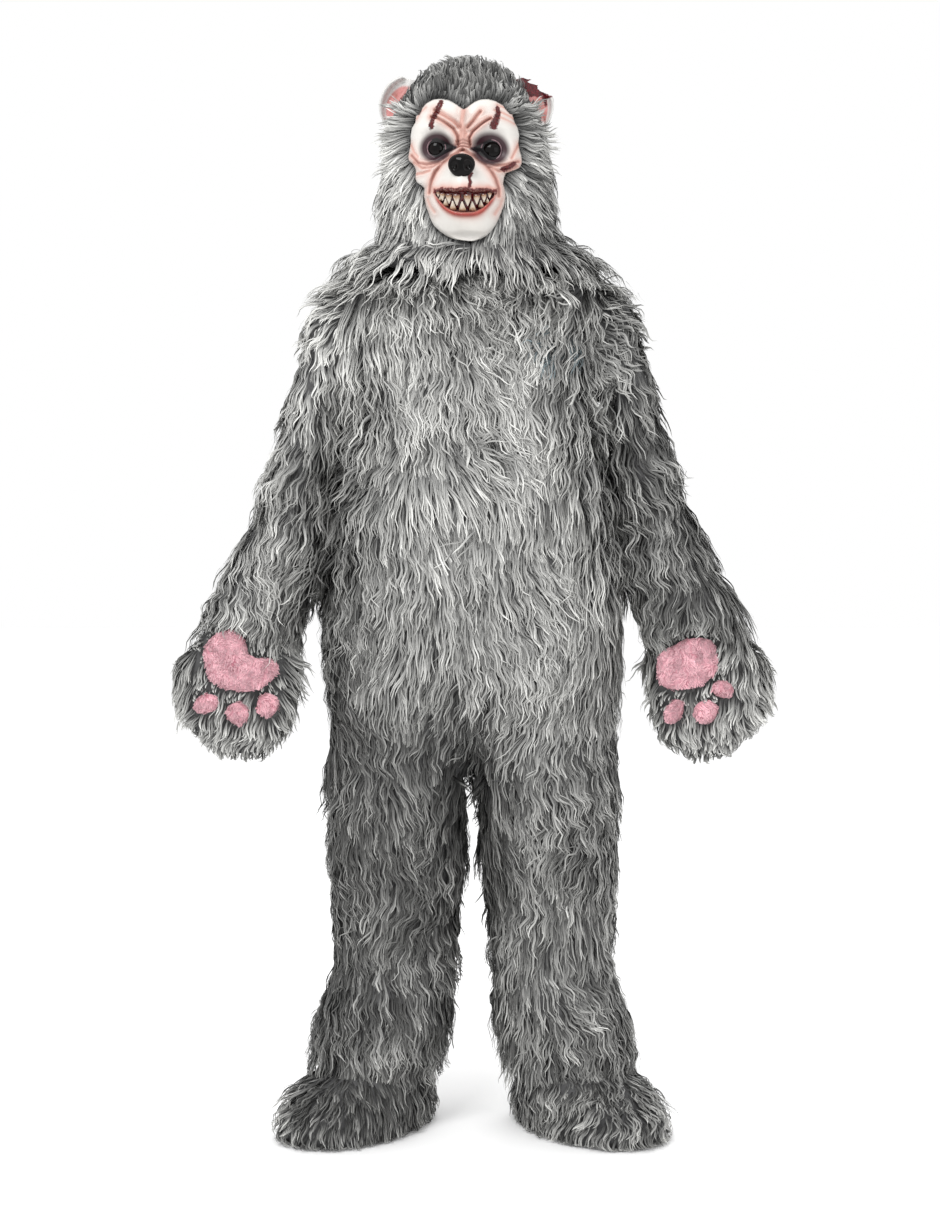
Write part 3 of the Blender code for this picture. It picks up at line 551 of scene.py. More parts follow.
def growFur(name, surface, look, flow, toneOf, material, seed):
    chance = np.random.default_rng(seed)
    roots, ups, behind = rootsOf(surface, look, chance)
    centres, owner = clumpsOf(roots, look, chance)
    count, clumps = len(roots), len(centres)

    # what all the locks of a clump share
    clumpRoot = roots[centres]
    clumpUp = ups[centres]
    run = flow(clumpRoot, clumpUp)
    run = unit(run - clumpUp * (run * clumpUp).sum(1)[:, None])
    across = np.cross(clumpUp, run)
    turn = look["swirl"] * noiseAt(clumpRoot, look["swirlSize"], 3) * 2
    turn += chance.normal(0, look["stray"], clumps)
    run, across = (
        run * np.cos(turn)[:, None] + across * np.sin(turn)[:, None],
        across * np.cos(turn)[:, None] - run * np.sin(turn)[:, None],
    )
    long = look["length"] * varied(chance, clumps, "clumpLength")
    if "lengthOf" in look:
        long = long * look["lengthOf"](clumpRoot)
    lift = look["lift"] * varied(chance, clumps, "clumpLift")
    if "liftOf" in look:
        lift = lift * look["liftOf"](clumpRoot, clumpUp)
    phase = noiseAt(clumpRoot, 0.11, 7) * 5 + noiseAt(clumpRoot, 0.035, 9) * 2.2
    phase = phase + chance.normal(0, lock["phase"], clumps)
    wide = look["wave"] * (1 + 1.3 * noiseAt(clumpRoot, 0.13, 6)).clip(0.25, 1.7) * chance.uniform(0.7, 1.25, clumps)
    if "waveOf" in look:
        wide = wide * look["waveOf"](clumpRoot)
    clumpTone = toneOf(clumpRoot) + chance.normal(0, look["toneClump"], clumps)

    # the path of each lock, waved along the skin and lifted off it
    steps = look["steps"]
    along = np.linspace(0, 1, steps + 1) ** 0.95
    s = along[None, :]
    long = long[owner] * varied(chance, count, "lockLength")
    grain = look.get("grainOf", downGrain)(roots)
    phase = phase[owner] + chance.normal(0, lock["phase"], count) + math.tau * grain / look["waveLong"]
    wide = wide[owner] * chance.uniform(0.7, 1.3, count)
    forward = long[:, None] * s * (1 - 0.10 * s)
    rise = lift[owner][:, None] * (2.3 * s - 1.75 * s * s) * chance.uniform(0.6, 1.3, count)[:, None]
    swing = phase[:, None] + math.tau * long[:, None] * s / look["waveLong"]
    envelope = s**0.8
    sideways = wide[:, None] * np.sin(swing) * envelope
    sideways += (long * chance.normal(0, look["drift"], count))[:, None] * s**1.6
    curl = lock["curl"] * wide[:, None] * np.cos(swing) * envelope
    path = roots[:, None, :] + forward[:, :, None] * run[owner][:, None, :]
    path = path + (rise + curl)[:, :, None] * ups[:, None, :]
    path = path + sideways[:, :, None] * across[owner][:, None, :]
    path[:, :, 2] -= look["droop"] * long[:, None] * s * s
    gathered = look["gather"] * s**1.1
    path = path + gathered[:, :, None] * (clumpRoot[owner] - roots)[:, None, :]
    path = holdIn(path)
    if "shape" in look:
        path = look["shape"](path, s)

    # a ribbon along each path, its normals turned out at the edges as if it were round
    heading = unit(np.gradient(path, axis=1))
    roll = chance.normal(0, look["roll"], count)[:, None, None]
    flat = unit(np.cross(heading, ups[:, None, :] + 1e-4))
    flat = unit(flat * np.cos(roll) + np.cross(heading, flat) * np.sin(roll))
    width = look["width"] / 2 * (chance.uniform(0.55, 1.25, count) * (1 + lock["widerBehind"] * behind))[:, None]
    half = width * np.interp(along, *lock["taper"])[None, :]
    soft = ups[:, None, :] - lock["lean"] * heading
    tip = 2 * steps
    points = np.zeros((count, tip + 1, 3))
    facing = np.zeros_like(points)
    for first, side in ((0, -1), (1, 1)):
        points[:, first:tip:2] = (path + side * half[:, :, None] * flat)[:, :steps]
        facing[:, first:tip:2] = (soft + side * lock["edgeTurn"] * flat)[:, :steps]
    points[:, tip] = path[:, steps]
    facing[:, tip] = soft[:, steps]

    tone = clumpTone[owner] + chance.normal(0, look["toneLock"], count)
    mesh, triangles = ribbonMesh(name, points, facing, along, tone)
    mesh.materials.append(material)
    fur = bpy.data.objects.new(name, mesh)
    bpy.context.collection.objects.link(fur)
    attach(fur, "root")
    print(name, count, "locks,", clumps, "clumps,", triangles, "triangles")
    return fur


print("helpers ready")


def stayOffFloor(path, s):
    low = ground + 0.0015 + 0.004 * (1 - s[:, :, None][..., 0])
    path[:, :, 2] = np.maximum(path[:, :, 2], low)
    return path


def besideArm(points, ups):
    high = heightOf(points)
    return between(np.abs(ups[:, 0]), 0.45, 0.85) * between(high, 0.93, 1.03) * (1 - between(high, 1.38, 1.44))


def flowDown(points, ups):  # down, and outwards over the shoulders
    run = np.zeros_like(points)
    run[:, 2] = -1
    run[:, 0] = 1.6 * points[:, 0] * between(ups[:, 2], 0.2, 0.8)
    run[:, 1] = 1.6 * points[:, 1] * between(ups[:, 2], 0.2, 0.8)
    run[:, 0] += 0.45 * np.sign(points[:, 0]) * besideArm(points, ups)
    return run


def flowSleeve(points, ups):
    side = sideOf(points)
    _, runs = awayFromLine(points, middleLine("sleeve", side))
    run = unit(runs) * 0.45
    run[:, 2] -= 0.75
    run[:, 0] -= side * 0.40 * between(-side * ups[:, 0], 0.25, 0.70) * between(heightOf(points), 0.97, 1.06)
    return run


def flowHood(points, ups):  # out from the middle of the face in front, back over the crown
    high = heightOf(points)
    crown = between(high, 1.735, 1.785)
    out = np.stack([(points[:, 0] + 0.022) * (1 - 0.75 * crown), np.zeros(len(points)), high - 1.665], 1)
    front = between(-points[:, 1], -0.02, 0.08)
    run = unit(out) * (front * 1.1)[:, None]
    run[:, 2] -= 0.75 * (1 - crown) + 0.25 * (1 - front)
    run[:, 1] += 0.9 * crown + 0.25 * (1 - crown)
    run[:, 2] += 0.8 * crown * between(-points[:, 1], -0.05, 0.05)
    return run


def flowBoot(points, ups):  # out from the instep and down
    side = sideOf(points)
    toe = np.array([side * 0.200, -0.02, 0])
    out = points - toe
    out[:, 2] = 0
    run = unit(out) * 0.35 * between(ups[:, 2], 0.0, 0.7)[:, None]
    run[:, 2] -= 0.9
    return run


def flowMitt(points, ups):
    side = sideOf(points)
    run = np.zeros_like(points)
    run[:, 2] = -1
    run[:, 0] = side * 1.1 * between(side * points[:, 0], 0.44, 0.50)
    run[:, 0] -= side * 0.5 * between(-side * points[:, 0], -0.36, -0.32)
    return run


def suitToneAndPaintedLight(points):
    # painted light and shade over the suit's fur, with random tone from the noise at the end
    high = heightOf(points)
    x = points[:, 0]
    onBody = 1 - between(np.abs(x), 0.285, 0.31)
    tone = 0.45 + 0.12 * bell(x - 0.10, 0.15) * between(high, 0.80, 1.00)  # painted light on the belly
    tone -= 0.28 * bell(x + 0.24, 0.07) * between(high, 0.65, 0.80) * (1 - between(high, 1.15, 1.25))  # painted shade on the flank
    tone += 0.52 * bell(x + 0.22, 0.09, high - 1.39, 0.10)  # the shoulder in the light
    tone -= 0.24 * between(x, 0.22, 0.29) * between(high, 0.86, 0.94)  # the sleeve in the shade
    tone -= (0.33 - 0.18 * between(x, 0.0, 0.10)) * (1 - between(high, 0.60, 0.88)) * onBody  # the legs
    tone += 0.14 * (1 - onBody) * (1 - between(high, 0.84, 0.92))  # the mitts
    # painted light on the sleeve at the wearer's right
    tone += 0.12 * between(-x, 0.26, 0.30) * between(high, 0.92, 1.00) * (1 - between(high, 1.20, 1.28))
    # painted shade in the gap between the legs
    tone -= 0.12 * bell(x, 0.07) * between(high, 0.56, 0.64) * (1 - between(high, 0.80, 0.90))
    tone += 0.24 * bell(x + 0.16, 0.07, high - 0.17, 0.035)  # above the boot
    return tone + 0.13 * noiseAt(points, 0.16, 5)


def toneHood(points):
    high = heightOf(points)
    crown = between(high, 1.70, 1.78)
    # painted shade on the hood: darker at the crown, on the wearer's left and low at the back, with random tone from
    # the noise
    tone = 0.70 - 0.51 * crown - 0.30 * between(points[:, 0], -0.02, 0.10) * (1 - crown)
    tone -= 0.22 * between(points[:, 1], -0.02, 0.08) * (1 - between(high, 1.50, 1.56))
    return tone + 0.10 * noiseAt(points, 0.07, 8)


def toneHoodOrSuit(points):
    # painted light and shade of the hood above, of the suit below
    return np.where(heightOf(points) > 1.50, toneHood(points), suitToneAndPaintedLight(points))


def hoodGrain(points):  # the waves run round the middle of the face
    return np.hypot(points[:, 0] + 0.022, heightOf(points) - 1.665)


def calmBelly(points):
    high = heightOf(points)
    return 1 - 0.55 * bell(points[:, 0], 0.17, high - 0.93, 0.20)


suitLook = {  # sizes in metres, density in locks on a square metre
    "density": 20900, "clump": 0.013, "length": 0.086, "width": 0.0032, "steps": 7,
    "lift": 0.0085, "droop": 0.05, "gather": 0.27, "roll": 0.35,
    "swirl": 0.42, "swirlSize": 0.11, "stray": 0.13, "drift": 0.09,
    "wave": 0.0052, "waveLong": 0.050, "waveOf": calmBelly,
    "toneClump": 0.13, "toneLock": 0.155, "thinBack": 1,
}

silver = {"root": (0.036, 0.036, 0.036), "middle": (0.270, 0.270, 0.262), "tip": (0.600, 0.598, 0.575)}
furMaterial = makeFurMaterial("silverFur", **silver)


def faceUp(roots, ups):
    return ups[:, 2] > -0.60


def clearOfMiddle(roots, ups):
    inner = (np.abs(roots[:, 0]) < 0.014) & (np.abs(ups[:, 0]) > 0.80) & (heightOf(roots) < 0.86)
    return faceUp(roots, ups) & ~inner


def onShownBoot(roots, ups):  # below the hem of the leg
    return (heightOf(roots) < 0.150) & (ups[:, 2] > -0.8)


def onShownMitt(roots, ups):  # below the cuff, and not under the pads
    shown = heightOf(roots) < 0.885
    for side, pads in padForms.items():
        for _, middle, outline in pads:
            dx, dz = side * roots[:, 0] - middle[0], heightOf(roots) - middle[1]
            inside = np.hypot(dx, dz) < reachOf(outline, np.arctan2(dz, dx)) - 0.001
            shown &= ~(inside & (roots[:, 1] < -0.05) & (side * roots[:, 0] > 0))
    return shown


def onShownTorso(roots, ups):
    return clearOfMiddle(roots, ups) & (heightOf(roots) < 1.490)


def shortAtToe(points):  # shorter fur near the ground
    return 0.55 + 0.45 * between(heightOf(points), 0.03, 0.10)


def besideEar(points):
    off = np.hypot(np.abs(points[:, 0] + 0.010) - 0.112, heightOf(points) - 1.772)
    return (1 - between(off, 0.035, 0.070)) * between(-points[:, 1], -0.045, -0.015)


def shortAtCrown(points):
    return (1 - 0.30 * between(heightOf(points), 1.72, 1.80)) * (1 - 0.40 * besideEar(points))


def reachOf(outline, angle):
    points = np.array(outline)
    turns = np.arctan2(points[:, 1], points[:, 0])
    order = np.argsort(turns)
    return np.interp(angle, turns[order], np.hypot(points[:, 0], points[:, 1])[order], period=math.tau)


def roundForm(half, tall, turn=0.0):
    angles = np.radians(np.arange(0, 360, 15))
    long, short = half * np.cos(angles), tall * np.sin(angles)
    tilt = math.radians(turn)
    return list(zip(long * math.cos(tilt) - short * math.sin(tilt), long * math.sin(tilt) + short * math.cos(tilt)))


padForms = {  # wearer's side: name, middle as distance from the spine and height, outline about the middle
    1: [
        ("palm_pad", (0.3700, 0.8140), [
            (0.047, -0.014), (0.048, 0.004), (0.0465, 0.022), (0.040, 0.037), (0.026, 0.042), (0.004, 0.041),
            (-0.024, 0.029), (-0.045, 0.018), (-0.053, 0.004), (-0.0530, -0.018), (-0.0480, -0.036), (-0.040, -0.0445),
            (-0.010, -0.043), (0.012, -0.039), (0.034, -0.030),
        ]),
        ("toe_pad_outer", (0.4285, 0.7680), roundForm(0.0185, 0.0145, -12)),
        ("toe_pad_middle", (0.4000, 0.7290), roundForm(0.0200, 0.0195)),
        ("toe_pad_inner", (0.3460, 0.7290), roundForm(0.0225, 0.0135, 62)),
    ],
    -1: [
        ("palm_pad", (0.4060, 0.8080), [
            (0.054, 0.012), (0.055, 0.026), (0.043, 0.048), (0.024, 0.060), (0.006, 0.061), (-0.008, 0.055),
            (-0.017, 0.040), (-0.020, 0.020), (-0.032, 0.012), (-0.052, 0.014), (-0.067, 0.012), (-0.0715, 0.001),
            (-0.068, -0.014), (-0.058, -0.026), (-0.042, -0.036), (-0.020, -0.043), (0.004, -0.041), (0.028, -0.034),
            (0.043, -0.022), (0.050, -0.004),
        ]),
        ("toe_pad_outer", (0.4580, 0.7430), roundForm(0.0215, 0.0155, -22)),
        ("toe_pad_middle", (0.4040, 0.7260), roundForm(0.0185, 0.0195)),
        ("toe_pad_inner", (0.3530, 0.7400), roundForm(0.0180, 0.0200)),
    ],
}


def clearOfPads(points):  # shorter fur above a pad, so that it does not hang over it
    share = np.ones(len(points))
    for side, pads in padForms.items():
        for _, middle, outline in pads:
            dx, dz = side * points[:, 0] - middle[0], heightOf(points) - middle[1]
            edge = reachOf(outline, np.arctan2(dz, dx))
            inWidth = (np.abs(dx) < np.abs(np.array(outline)[:, 0]).max()) & (dz > 0)
            inWidth &= (side * points[:, 0] > 0) & (points[:, 1] < -0.03)
            room = (np.hypot(dx, dz) - edge + 0.004) / 0.095
            share = np.where(inWidth, np.minimum(share, room.clip(0.12, 1)), share)
    return share


def mittLength(points):
    low = 1 - between(heightOf(points), 0.67, 0.77)
    outer = between(np.abs(points[:, 0]), 0.42, 0.49)
    return clearOfPads(points) * (1 - low * (0.62 + 0.20 * outer))


def sleeveLength(points):
    return clearOfPads(points) * (1 - 0.35 * between(heightOf(points), 1.30, 1.38))


def torsoLift(points, ups):
    shoulder = between(ups[:, 2], 0.4, 0.8) * between(np.abs(points[:, 0]), 0.08, 0.14)
    return 1 + 3.0 * besideArm(points, ups) + 1.6 * shoulder


def sleeveLift(points, ups):
    side = sideOf(points)
    high = heightOf(points)
    inner = between(-side * ups[:, 0], 0.25, 0.70) * between(high, 0.93, 1.02)
    outer = between(high, 1.22, 1.32) * between(side * ups[:, 0], 0.1, 0.6)
    return (1 + 2.8 * inner) * (1 - (0.75 if side > 0 else 0.50) * outer)


def hoodLift(points, ups):
    cape = (1 - between(heightOf(points), 1.52, 1.60)) * between(np.abs(ups[:, 0]), 0.3, 0.8)
    return (1 + 1.5 * cape) * (1 - 0.5 * besideEar(points))


plans = [  # kind, node names, flow, tone, changes to suitLook
    ("torso", ["torso_front_{}", "torso_back_{}"], flowDown, suitToneAndPaintedLight, {"keep": onShownTorso, "liftOf": torsoLift}),
    ("sleeve", ["sleeve_{}"], flowSleeve, suitToneAndPaintedLight, {
        "length": 0.078, "swirl": 0.55, "lift": 0.009, "wave": 0.0060,
        "keep": faceUp, "lengthOf": sleeveLength, "liftOf": sleeveLift,
    }),
    ("leg", ["leg_{}"], flowDown, suitToneAndPaintedLight, {"keep": clearOfMiddle, "length": 0.082, "swirl": 0.45, "wave": 0.0054}),
    ("boot", ["boot_{}"], flowBoot, suitToneAndPaintedLight, {
        "length": 0.060, "lift": 0.008, "waveLong": 0.045,
        "keep": onShownBoot, "shape": stayOffFloor, "lengthOf": shortAtToe,
    }),
    ("hood", ["hood_{}"], flowHood, toneHood, {
        "density": 25500, "length": 0.060, "lift": 0.010, "swirl": 0.35, "wave": 0.0028, "width": 0.0029,
        "keep": faceUp, "grainOf": hoodGrain, "lengthOf": shortAtCrown, "liftOf": hoodLift,
    }),
    ("mitt", ["mitt_palm_{}", "mitt_back_{}"], flowMitt, suitToneAndPaintedLight, {
        "density": 27000, "length": 0.056, "lift": 0.009, "swirl": 0.6, "wave": 0.0032,
        "keep": onShownMitt, "lengthOf": mittLength,
    }),
]
seed = 11
dressed = {}
for sideName, side in sides.items():
    for kind, names, flow, toneOf, changes in plans:
        for name in names:
            node = name.format(sideName)
            cloth, skin = addBacking(node, kind, side)
            seed += 1
            fur = growFur("fur_" + node, skin, {**suitLook, **changes}, flow, toneOf, furMaterial, seed)
            dressed[node] = (cloth, fur, skin)
    print("suit,", sideName, "side dressed")


def seamSkin():
    corners, ways = [], []
    for node, (_, _, skin) in dressed.items():
        if node.startswith(("torso", "hood")):
            middle = -0.008 if node.startswith("hood") else 0.0
            places = skin[0].mean(1)
            high = heightOf(places)
            near = (np.abs(places[:, 0] - middle) < 0.018) & (high > 0.66) & (high < 1.74)
            near |= (high > 1.405) & (high < 1.488) & node.startswith("torso")
            corners.append(skin[0][near])
            ways.append(skin[1][near])
    return np.concatenate(corners), np.concatenate(ways)


seamLook = {  # tousled, so that no line shows
    **suitLook, "density": 13000, "length": 0.070, "lift": 0.010, "swirl": 1.0, "stray": 0.40, "drift": 0.16,
}
seamFur = growFur("fur_over_seams", seamSkin(), seamLook, flowDown, toneHoodOrSuit, furMaterial, 60)


tuftSpot = {"x": 0.152, "height": 1.362, "radius": 0.027}


def tuftSkin():
    corners, ways = dressed["torso_front_left"][2]
    places = corners.mean(1)
    near = np.hypot(places[:, 0] - tuftSpot["x"], places[:, 2] - ground - tuftSpot["height"]) < tuftSpot["radius"]
    return corners[near], ways[near]


blueFur = makeFurMaterial("blueGreyFur", (0.016, 0.020, 0.022), (0.088, 0.112, 0.122), (0.260, 0.315, 0.335))
tuftLook = {**suitLook, "density": 26000, "length": 0.058, "lift": 0.016, "swirl": 0.9, "stray": 0.5}
tuft = growFur("fur_tuft_chest", tuftSkin(), tuftLook, flowDown, suitToneAndPaintedLight, blueFur, 61)

cuts = {  # width, length and area of the flat cut, and what the cloth hangs from or lies on
    "torso_front": (0.38, 0.95, 0.290, []),
    "torso_back": (0.37, 0.95, 0.283, ["torso_front_{}"]),
    "sleeve": (0.46, 0.66, 0.232, ["torso_front_{}", "torso_back_{}"]),
    "leg": (0.74, 0.49, 0.333, ["torso_front_{}", "torso_back_{}"]),
    "boot": (0.78, 0.26, 0.154, ["leg_{}"]),
    "hood": (0.50, 0.46, 0.165, ["torso_front_{}", "torso_back_{}"]),
    "mitt_palm": (0.24, 0.34, 0.070, ["sleeve_{}"]),
    "mitt_back": (0.24, 0.34, 0.070, ["sleeve_{}"]),
}
for node, (cloth, fur, _) in dressed.items():
    kind, _, sideName = node.rpartition("_")
    wide, long, area, under = cuts[kind]
    under = [name.format(sideName) for name in under]


mask = {
    "columns": 132, "rows": 156, "wall": 0.003, "forward": 0.007, "low": 1.5255, "high": 1.7845,
    "reach": [  # height above the ground, reach to the wearer's right, reach to the left
        (1.5255, 0.006, 0.008), (1.528, 0.024, 0.016), (1.5336, 0.035, 0.029), (1.5426, 0.045, 0.042),
        (1.5529, 0.0515, 0.0525), (1.5628, 0.054, 0.060), (1.5728, 0.0555, 0.066), (1.5858, 0.060, 0.0715),
        (1.6012, 0.0635, 0.0745), (1.616, 0.0625, 0.072), (1.621, 0.068, 0.070), (1.626, 0.0755, 0.0705),
        (1.633, 0.0785, 0.0715), (1.640, 0.078, 0.074), (1.646, 0.0775, 0.088), (1.651, 0.079, 0.0965),
        (1.658, 0.083, 0.100), (1.6646, 0.0905, 0.1005), (1.671, 0.0915, 0.0995), (1.681, 0.0895, 0.0965),
        (1.693, 0.087, 0.0945), (1.7066, 0.0875, 0.096), (1.718, 0.0855, 0.0935), (1.728, 0.079, 0.088),
        (1.738, 0.0780, 0.085), (1.754, 0.0850, 0.086), (1.7645, 0.0750, 0.076), (1.772, 0.066, 0.066),
        (1.780, 0.046, 0.046), (1.7845, 0.034, 0.034),
    ],
    "top": [  # across, height of the two lobes over the brows
        (-0.0710, 1.7385), (-0.0654, 1.7500), (-0.0589, 1.7572), (-0.0471, 1.7625), (-0.0341, 1.7634), (-0.021, 1.7602),
        (-0.0081, 1.7532), (-0.0005, 1.7470), (0.0049, 1.7430), (0.0075, 1.7450), (0.0137, 1.7500), (0.0224, 1.7565),
        (0.0323, 1.7612), (0.0448, 1.7621), (0.0574, 1.7590), (0.0699, 1.7520), (0.0800, 1.7400),
    ],
    "hood": [  # height, half width and front of the hood under the rim
        (1.510, 0.196, 0.158), (1.535, 0.168, 0.149), (1.565, 0.157, 0.147), (1.607, 0.155, 0.148),
        (1.650, 0.149, 0.149), (1.694, 0.143, 0.149), (1.737, 0.138, 0.146), (1.780, 0.124, 0.133),
        (1.815, 0.098, 0.108),
    ],
    "forms": [  # x, height, half long, half short, angle in degrees, rise, also mirrored about the nose
        (0.000, 1.600, 0.051, 0.046, 0, 0.046, False), (0.000, 1.652, 0.030, 0.024, 90, 0.017, False),
        (0.000, 1.545, 0.030, 0.018, 0, 0.008, False), (0.047, 1.679, 0.030, 0.024, 0, -0.017, True),
        (0.020, 1.684, 0.018, 0.009, 8, -0.009, True), (0.027, 1.7070, 0.023, 0.0105, 48, 0.0105, True),
        (0.052, 1.7190, 0.030, 0.0120, -15, 0.0100, True), (0.038, 1.750, 0.030, 0.014, 12, 0.0070, True),
        (0.075, 1.650, 0.020, 0.011, 25, 0.0070, True), (0.084, 1.690, 0.014, 0.026, 0, 0.0060, True),
        (0.000, 1.713, 0.036, 0.0058, 90, 0.0060, False), (0.000, 1.684, 0.012, 0.008, 0, 0.0040, False),
    ],
    "middle": 0.004,  # the face's own middle line
    "flush": [  # pink patches: middle, squash across and up, strength, half width
        ((0.0045, 1.700), (1, 0.45), 0.55, 0.011), ((0.060, 1.652), (0.5, 1), 0.40, 0.013),
        ((-0.055, 1.655), (0.5, 1), 0.40, 0.013),
    ],
    "folds": [  # raised or sunk lines: points, half width, rise, share of painted shade
        ([(-0.044, 1.7440), (-0.0269, 1.7332), (-0.0115, 1.7234), (-0.0012, 1.7143)], 0.0026, -0.0042, 0.75),
        ([(-0.050, 1.7330), (-0.0437, 1.7322), (-0.0281, 1.7226), (-0.0126, 1.7119), (-0.0048, 1.6988),
          (-0.0038, 1.6841)], 0.0020, -0.0048, 0.9),
        ([(-0.038, 1.7390), (-0.022, 1.7285), (-0.0070, 1.7170)], 0.0026, 0.0034, 0.35),
        ([(0.0328, 1.7400), (0.0260, 1.7320), (0.0203, 1.7244), (0.0115, 1.7142)], 0.0024, -0.0040, 0.75),
        ([(0.0500, 1.7290), (0.0329, 1.7169), (0.0204, 1.7066), (0.0142, 1.6961),
          (0.0152, 1.6844)], 0.0020, -0.0048, 0.9),
        ([(0.0430, 1.7310), (0.0270, 1.7205), (0.0140, 1.7105)], 0.0026, 0.0034, 0.35),
        ([(0.0049, 1.7412), (0.0025, 1.7270), (0.0013, 1.7168), (0.0045, 1.7065),
          (0.0046, 1.6900)], 0.0036, 0.0030, 0.55),
        ([(-0.0075, 1.6900), (0.0050, 1.6915), (0.0150, 1.6898)], 0.0015, -0.0026, 0.75),
        ([(-0.0090, 1.6855), (0.0050, 1.6868), (0.0160, 1.6852)], 0.0015, -0.0028, 0.75),
        ([(-0.0110, 1.6805), (0.0045, 1.6815), (0.0185, 1.6805)], 0.0016, -0.0030, 0.85),
        ([(-0.0527, 1.6060), (-0.0515, 1.6150), (-0.0488, 1.6254), (-0.0426, 1.6390), (-0.0323, 1.6530),
          (-0.0167, 1.6647), (0.0037, 1.6755)], 0.0026, -0.0052, 0.8),
        ([(0.0037, 1.6755), (0.0240, 1.6652), (0.0410, 1.6529), (0.0511, 1.6404), (0.0586, 1.6280),
          (0.0636, 1.6131), (0.0640, 1.6000)], 0.0026, -0.0052, 0.8),
        ([(-0.0848, 1.6720), (-0.0724, 1.6575), (-0.0576, 1.6545), (-0.0404, 1.6575),
          (-0.0220, 1.6680)], 0.0022, -0.0048, 0.8),
        ([(-0.0800, 1.6600), (-0.0650, 1.6480), (-0.0500, 1.6490), (-0.0350, 1.6560)], 0.0022, -0.0036, 0.6),
        ([(-0.0750, 1.6400), (-0.0642, 1.6400), (-0.0520, 1.6430)], 0.0022, -0.0030, 0.5),
        ([(0.0300, 1.6700), (0.0435, 1.6560), (0.0584, 1.6510), (0.0756, 1.6530),
          (0.0952, 1.6610)], 0.0022, -0.0048, 0.8),
        ([(0.0486, 1.6480), (0.0634, 1.6420), (0.0806, 1.6460), (0.0930, 1.6530)], 0.0022, -0.0036, 0.7),
        ([(0.0951, 1.6903), (0.0890, 1.6760), (0.0842, 1.6650)], 0.0020, -0.0030, 0.6),
        ([(-0.0860, 1.6900), (-0.0800, 1.6760), (-0.0740, 1.6680)], 0.0020, -0.0028, 0.5),
        ([(0.0600, 1.7530), (0.0740, 1.7490), (0.0830, 1.7410)], 0.0016, -0.0020, 0.5),
        ([(0.0560, 1.7440), (0.0700, 1.7400), (0.0860, 1.7330)], 0.0016, -0.0022, 0.5),
        ([(0.0570, 1.7350), (0.0720, 1.7300), (0.0880, 1.7240)], 0.0016, -0.0020, 0.45),
        ([(-0.0600, 1.7500), (-0.0700, 1.7430), (-0.0760, 1.7330)], 0.0018, -0.0020, 0.4),
        ([(-0.0560, 1.5960), (-0.0520, 1.5850), (-0.0440, 1.5740)], 0.0026, -0.0026, 0.4),
        ([(0.0690, 1.5960), (0.0650, 1.5830), (0.0560, 1.5700)], 0.0026, -0.0026, 0.4),
    ],
    "gash": [(0.0600, 1.7480), (0.0620, 1.7400), (0.0590, 1.7280), (0.0545, 1.7170)],
    "scar": [(-0.0340, 1.7560), (-0.0380, 1.7460), (-0.0430, 1.7360), (-0.0480, 1.7250), (-0.0500, 1.7160)],
    "cheekScar": [(0.0880, 1.6560), (0.0790, 1.6490), (0.0700, 1.6450)],
    "trickle": [(0.0200, 1.6330), (0.0165, 1.6260), (0.0190, 1.6170), (0.0170, 1.6090)],
    "mouth": {
        "middle": 0.0080, "half": 0.0500, "top": 1.6055, "topLift": 0.0030,
        "bottom": 1.5685, "bottomLift": 0.0330,
    },
    "eyes": [(-0.0421, 1.6824, 0.0150), (0.0496, 1.6785, 0.0165)],
    "corners": [(-0.0100, 1.6810), (0.0190, 1.6785)],
    "nose": (0.0040, 1.6456, 0.0225, 0.0198),
}


def besideMask(side, height):
    outline = np.array(mask["reach"])
    return np.interp(height, outline[:, 0], outline[:, 2 if side > 0 else 1])


def nearStroke(x, z, points):
    best = np.full(np.shape(x), np.inf)
    for (x1, z1), (x2, z2) in zip(points, points[1:]):
        dx, dz = x2 - x1, z2 - z1
        share = np.clip(((x - x1) * dx + (z - z1) * dz) / (dx * dx + dz * dz), 0, 1)
        best = np.minimum(best, np.hypot(x - x1 - share * dx, z - z1 - share * dz))
    return best


def mouthDepth(x, z):
    m = mask["mouth"]
    place = np.abs(x - m["middle"]) / m["half"]
    top = m["top"] + m["topLift"] * place**2 + 0.0010 * np.sin(x * 190) + 0.0006 * np.sin(x * 410 + 1)
    bottom = m["bottom"] + m["bottomLift"] * place**2.6
    return np.minimum(np.minimum(top - z, z - bottom), m["half"] - np.abs(x - m["middle"]))


def aboveBrows(x, z):
    top = np.array(mask["top"])
    return z - np.interp(x, top[:, 0], top[:, 1])


def foldsAt(x, z):
    tone, relief = np.zeros(np.shape(x)), np.zeros(np.shape(x))
    for points, half, rise, shade in mask["folds"]:
        near = nearStroke(x, z, points)
        relief += rise * bell(near, half) - 0.40 * rise * bell(near - 2.2 * half, half)
        # painted shade along the fold, strong near it and fainter further out
        tone = np.maximum(tone, shade * bell(near, 1.5 * half))
        tone = np.maximum(tone, 0.45 * shade * bell(near, 4.0 * half))
    return tone, relief


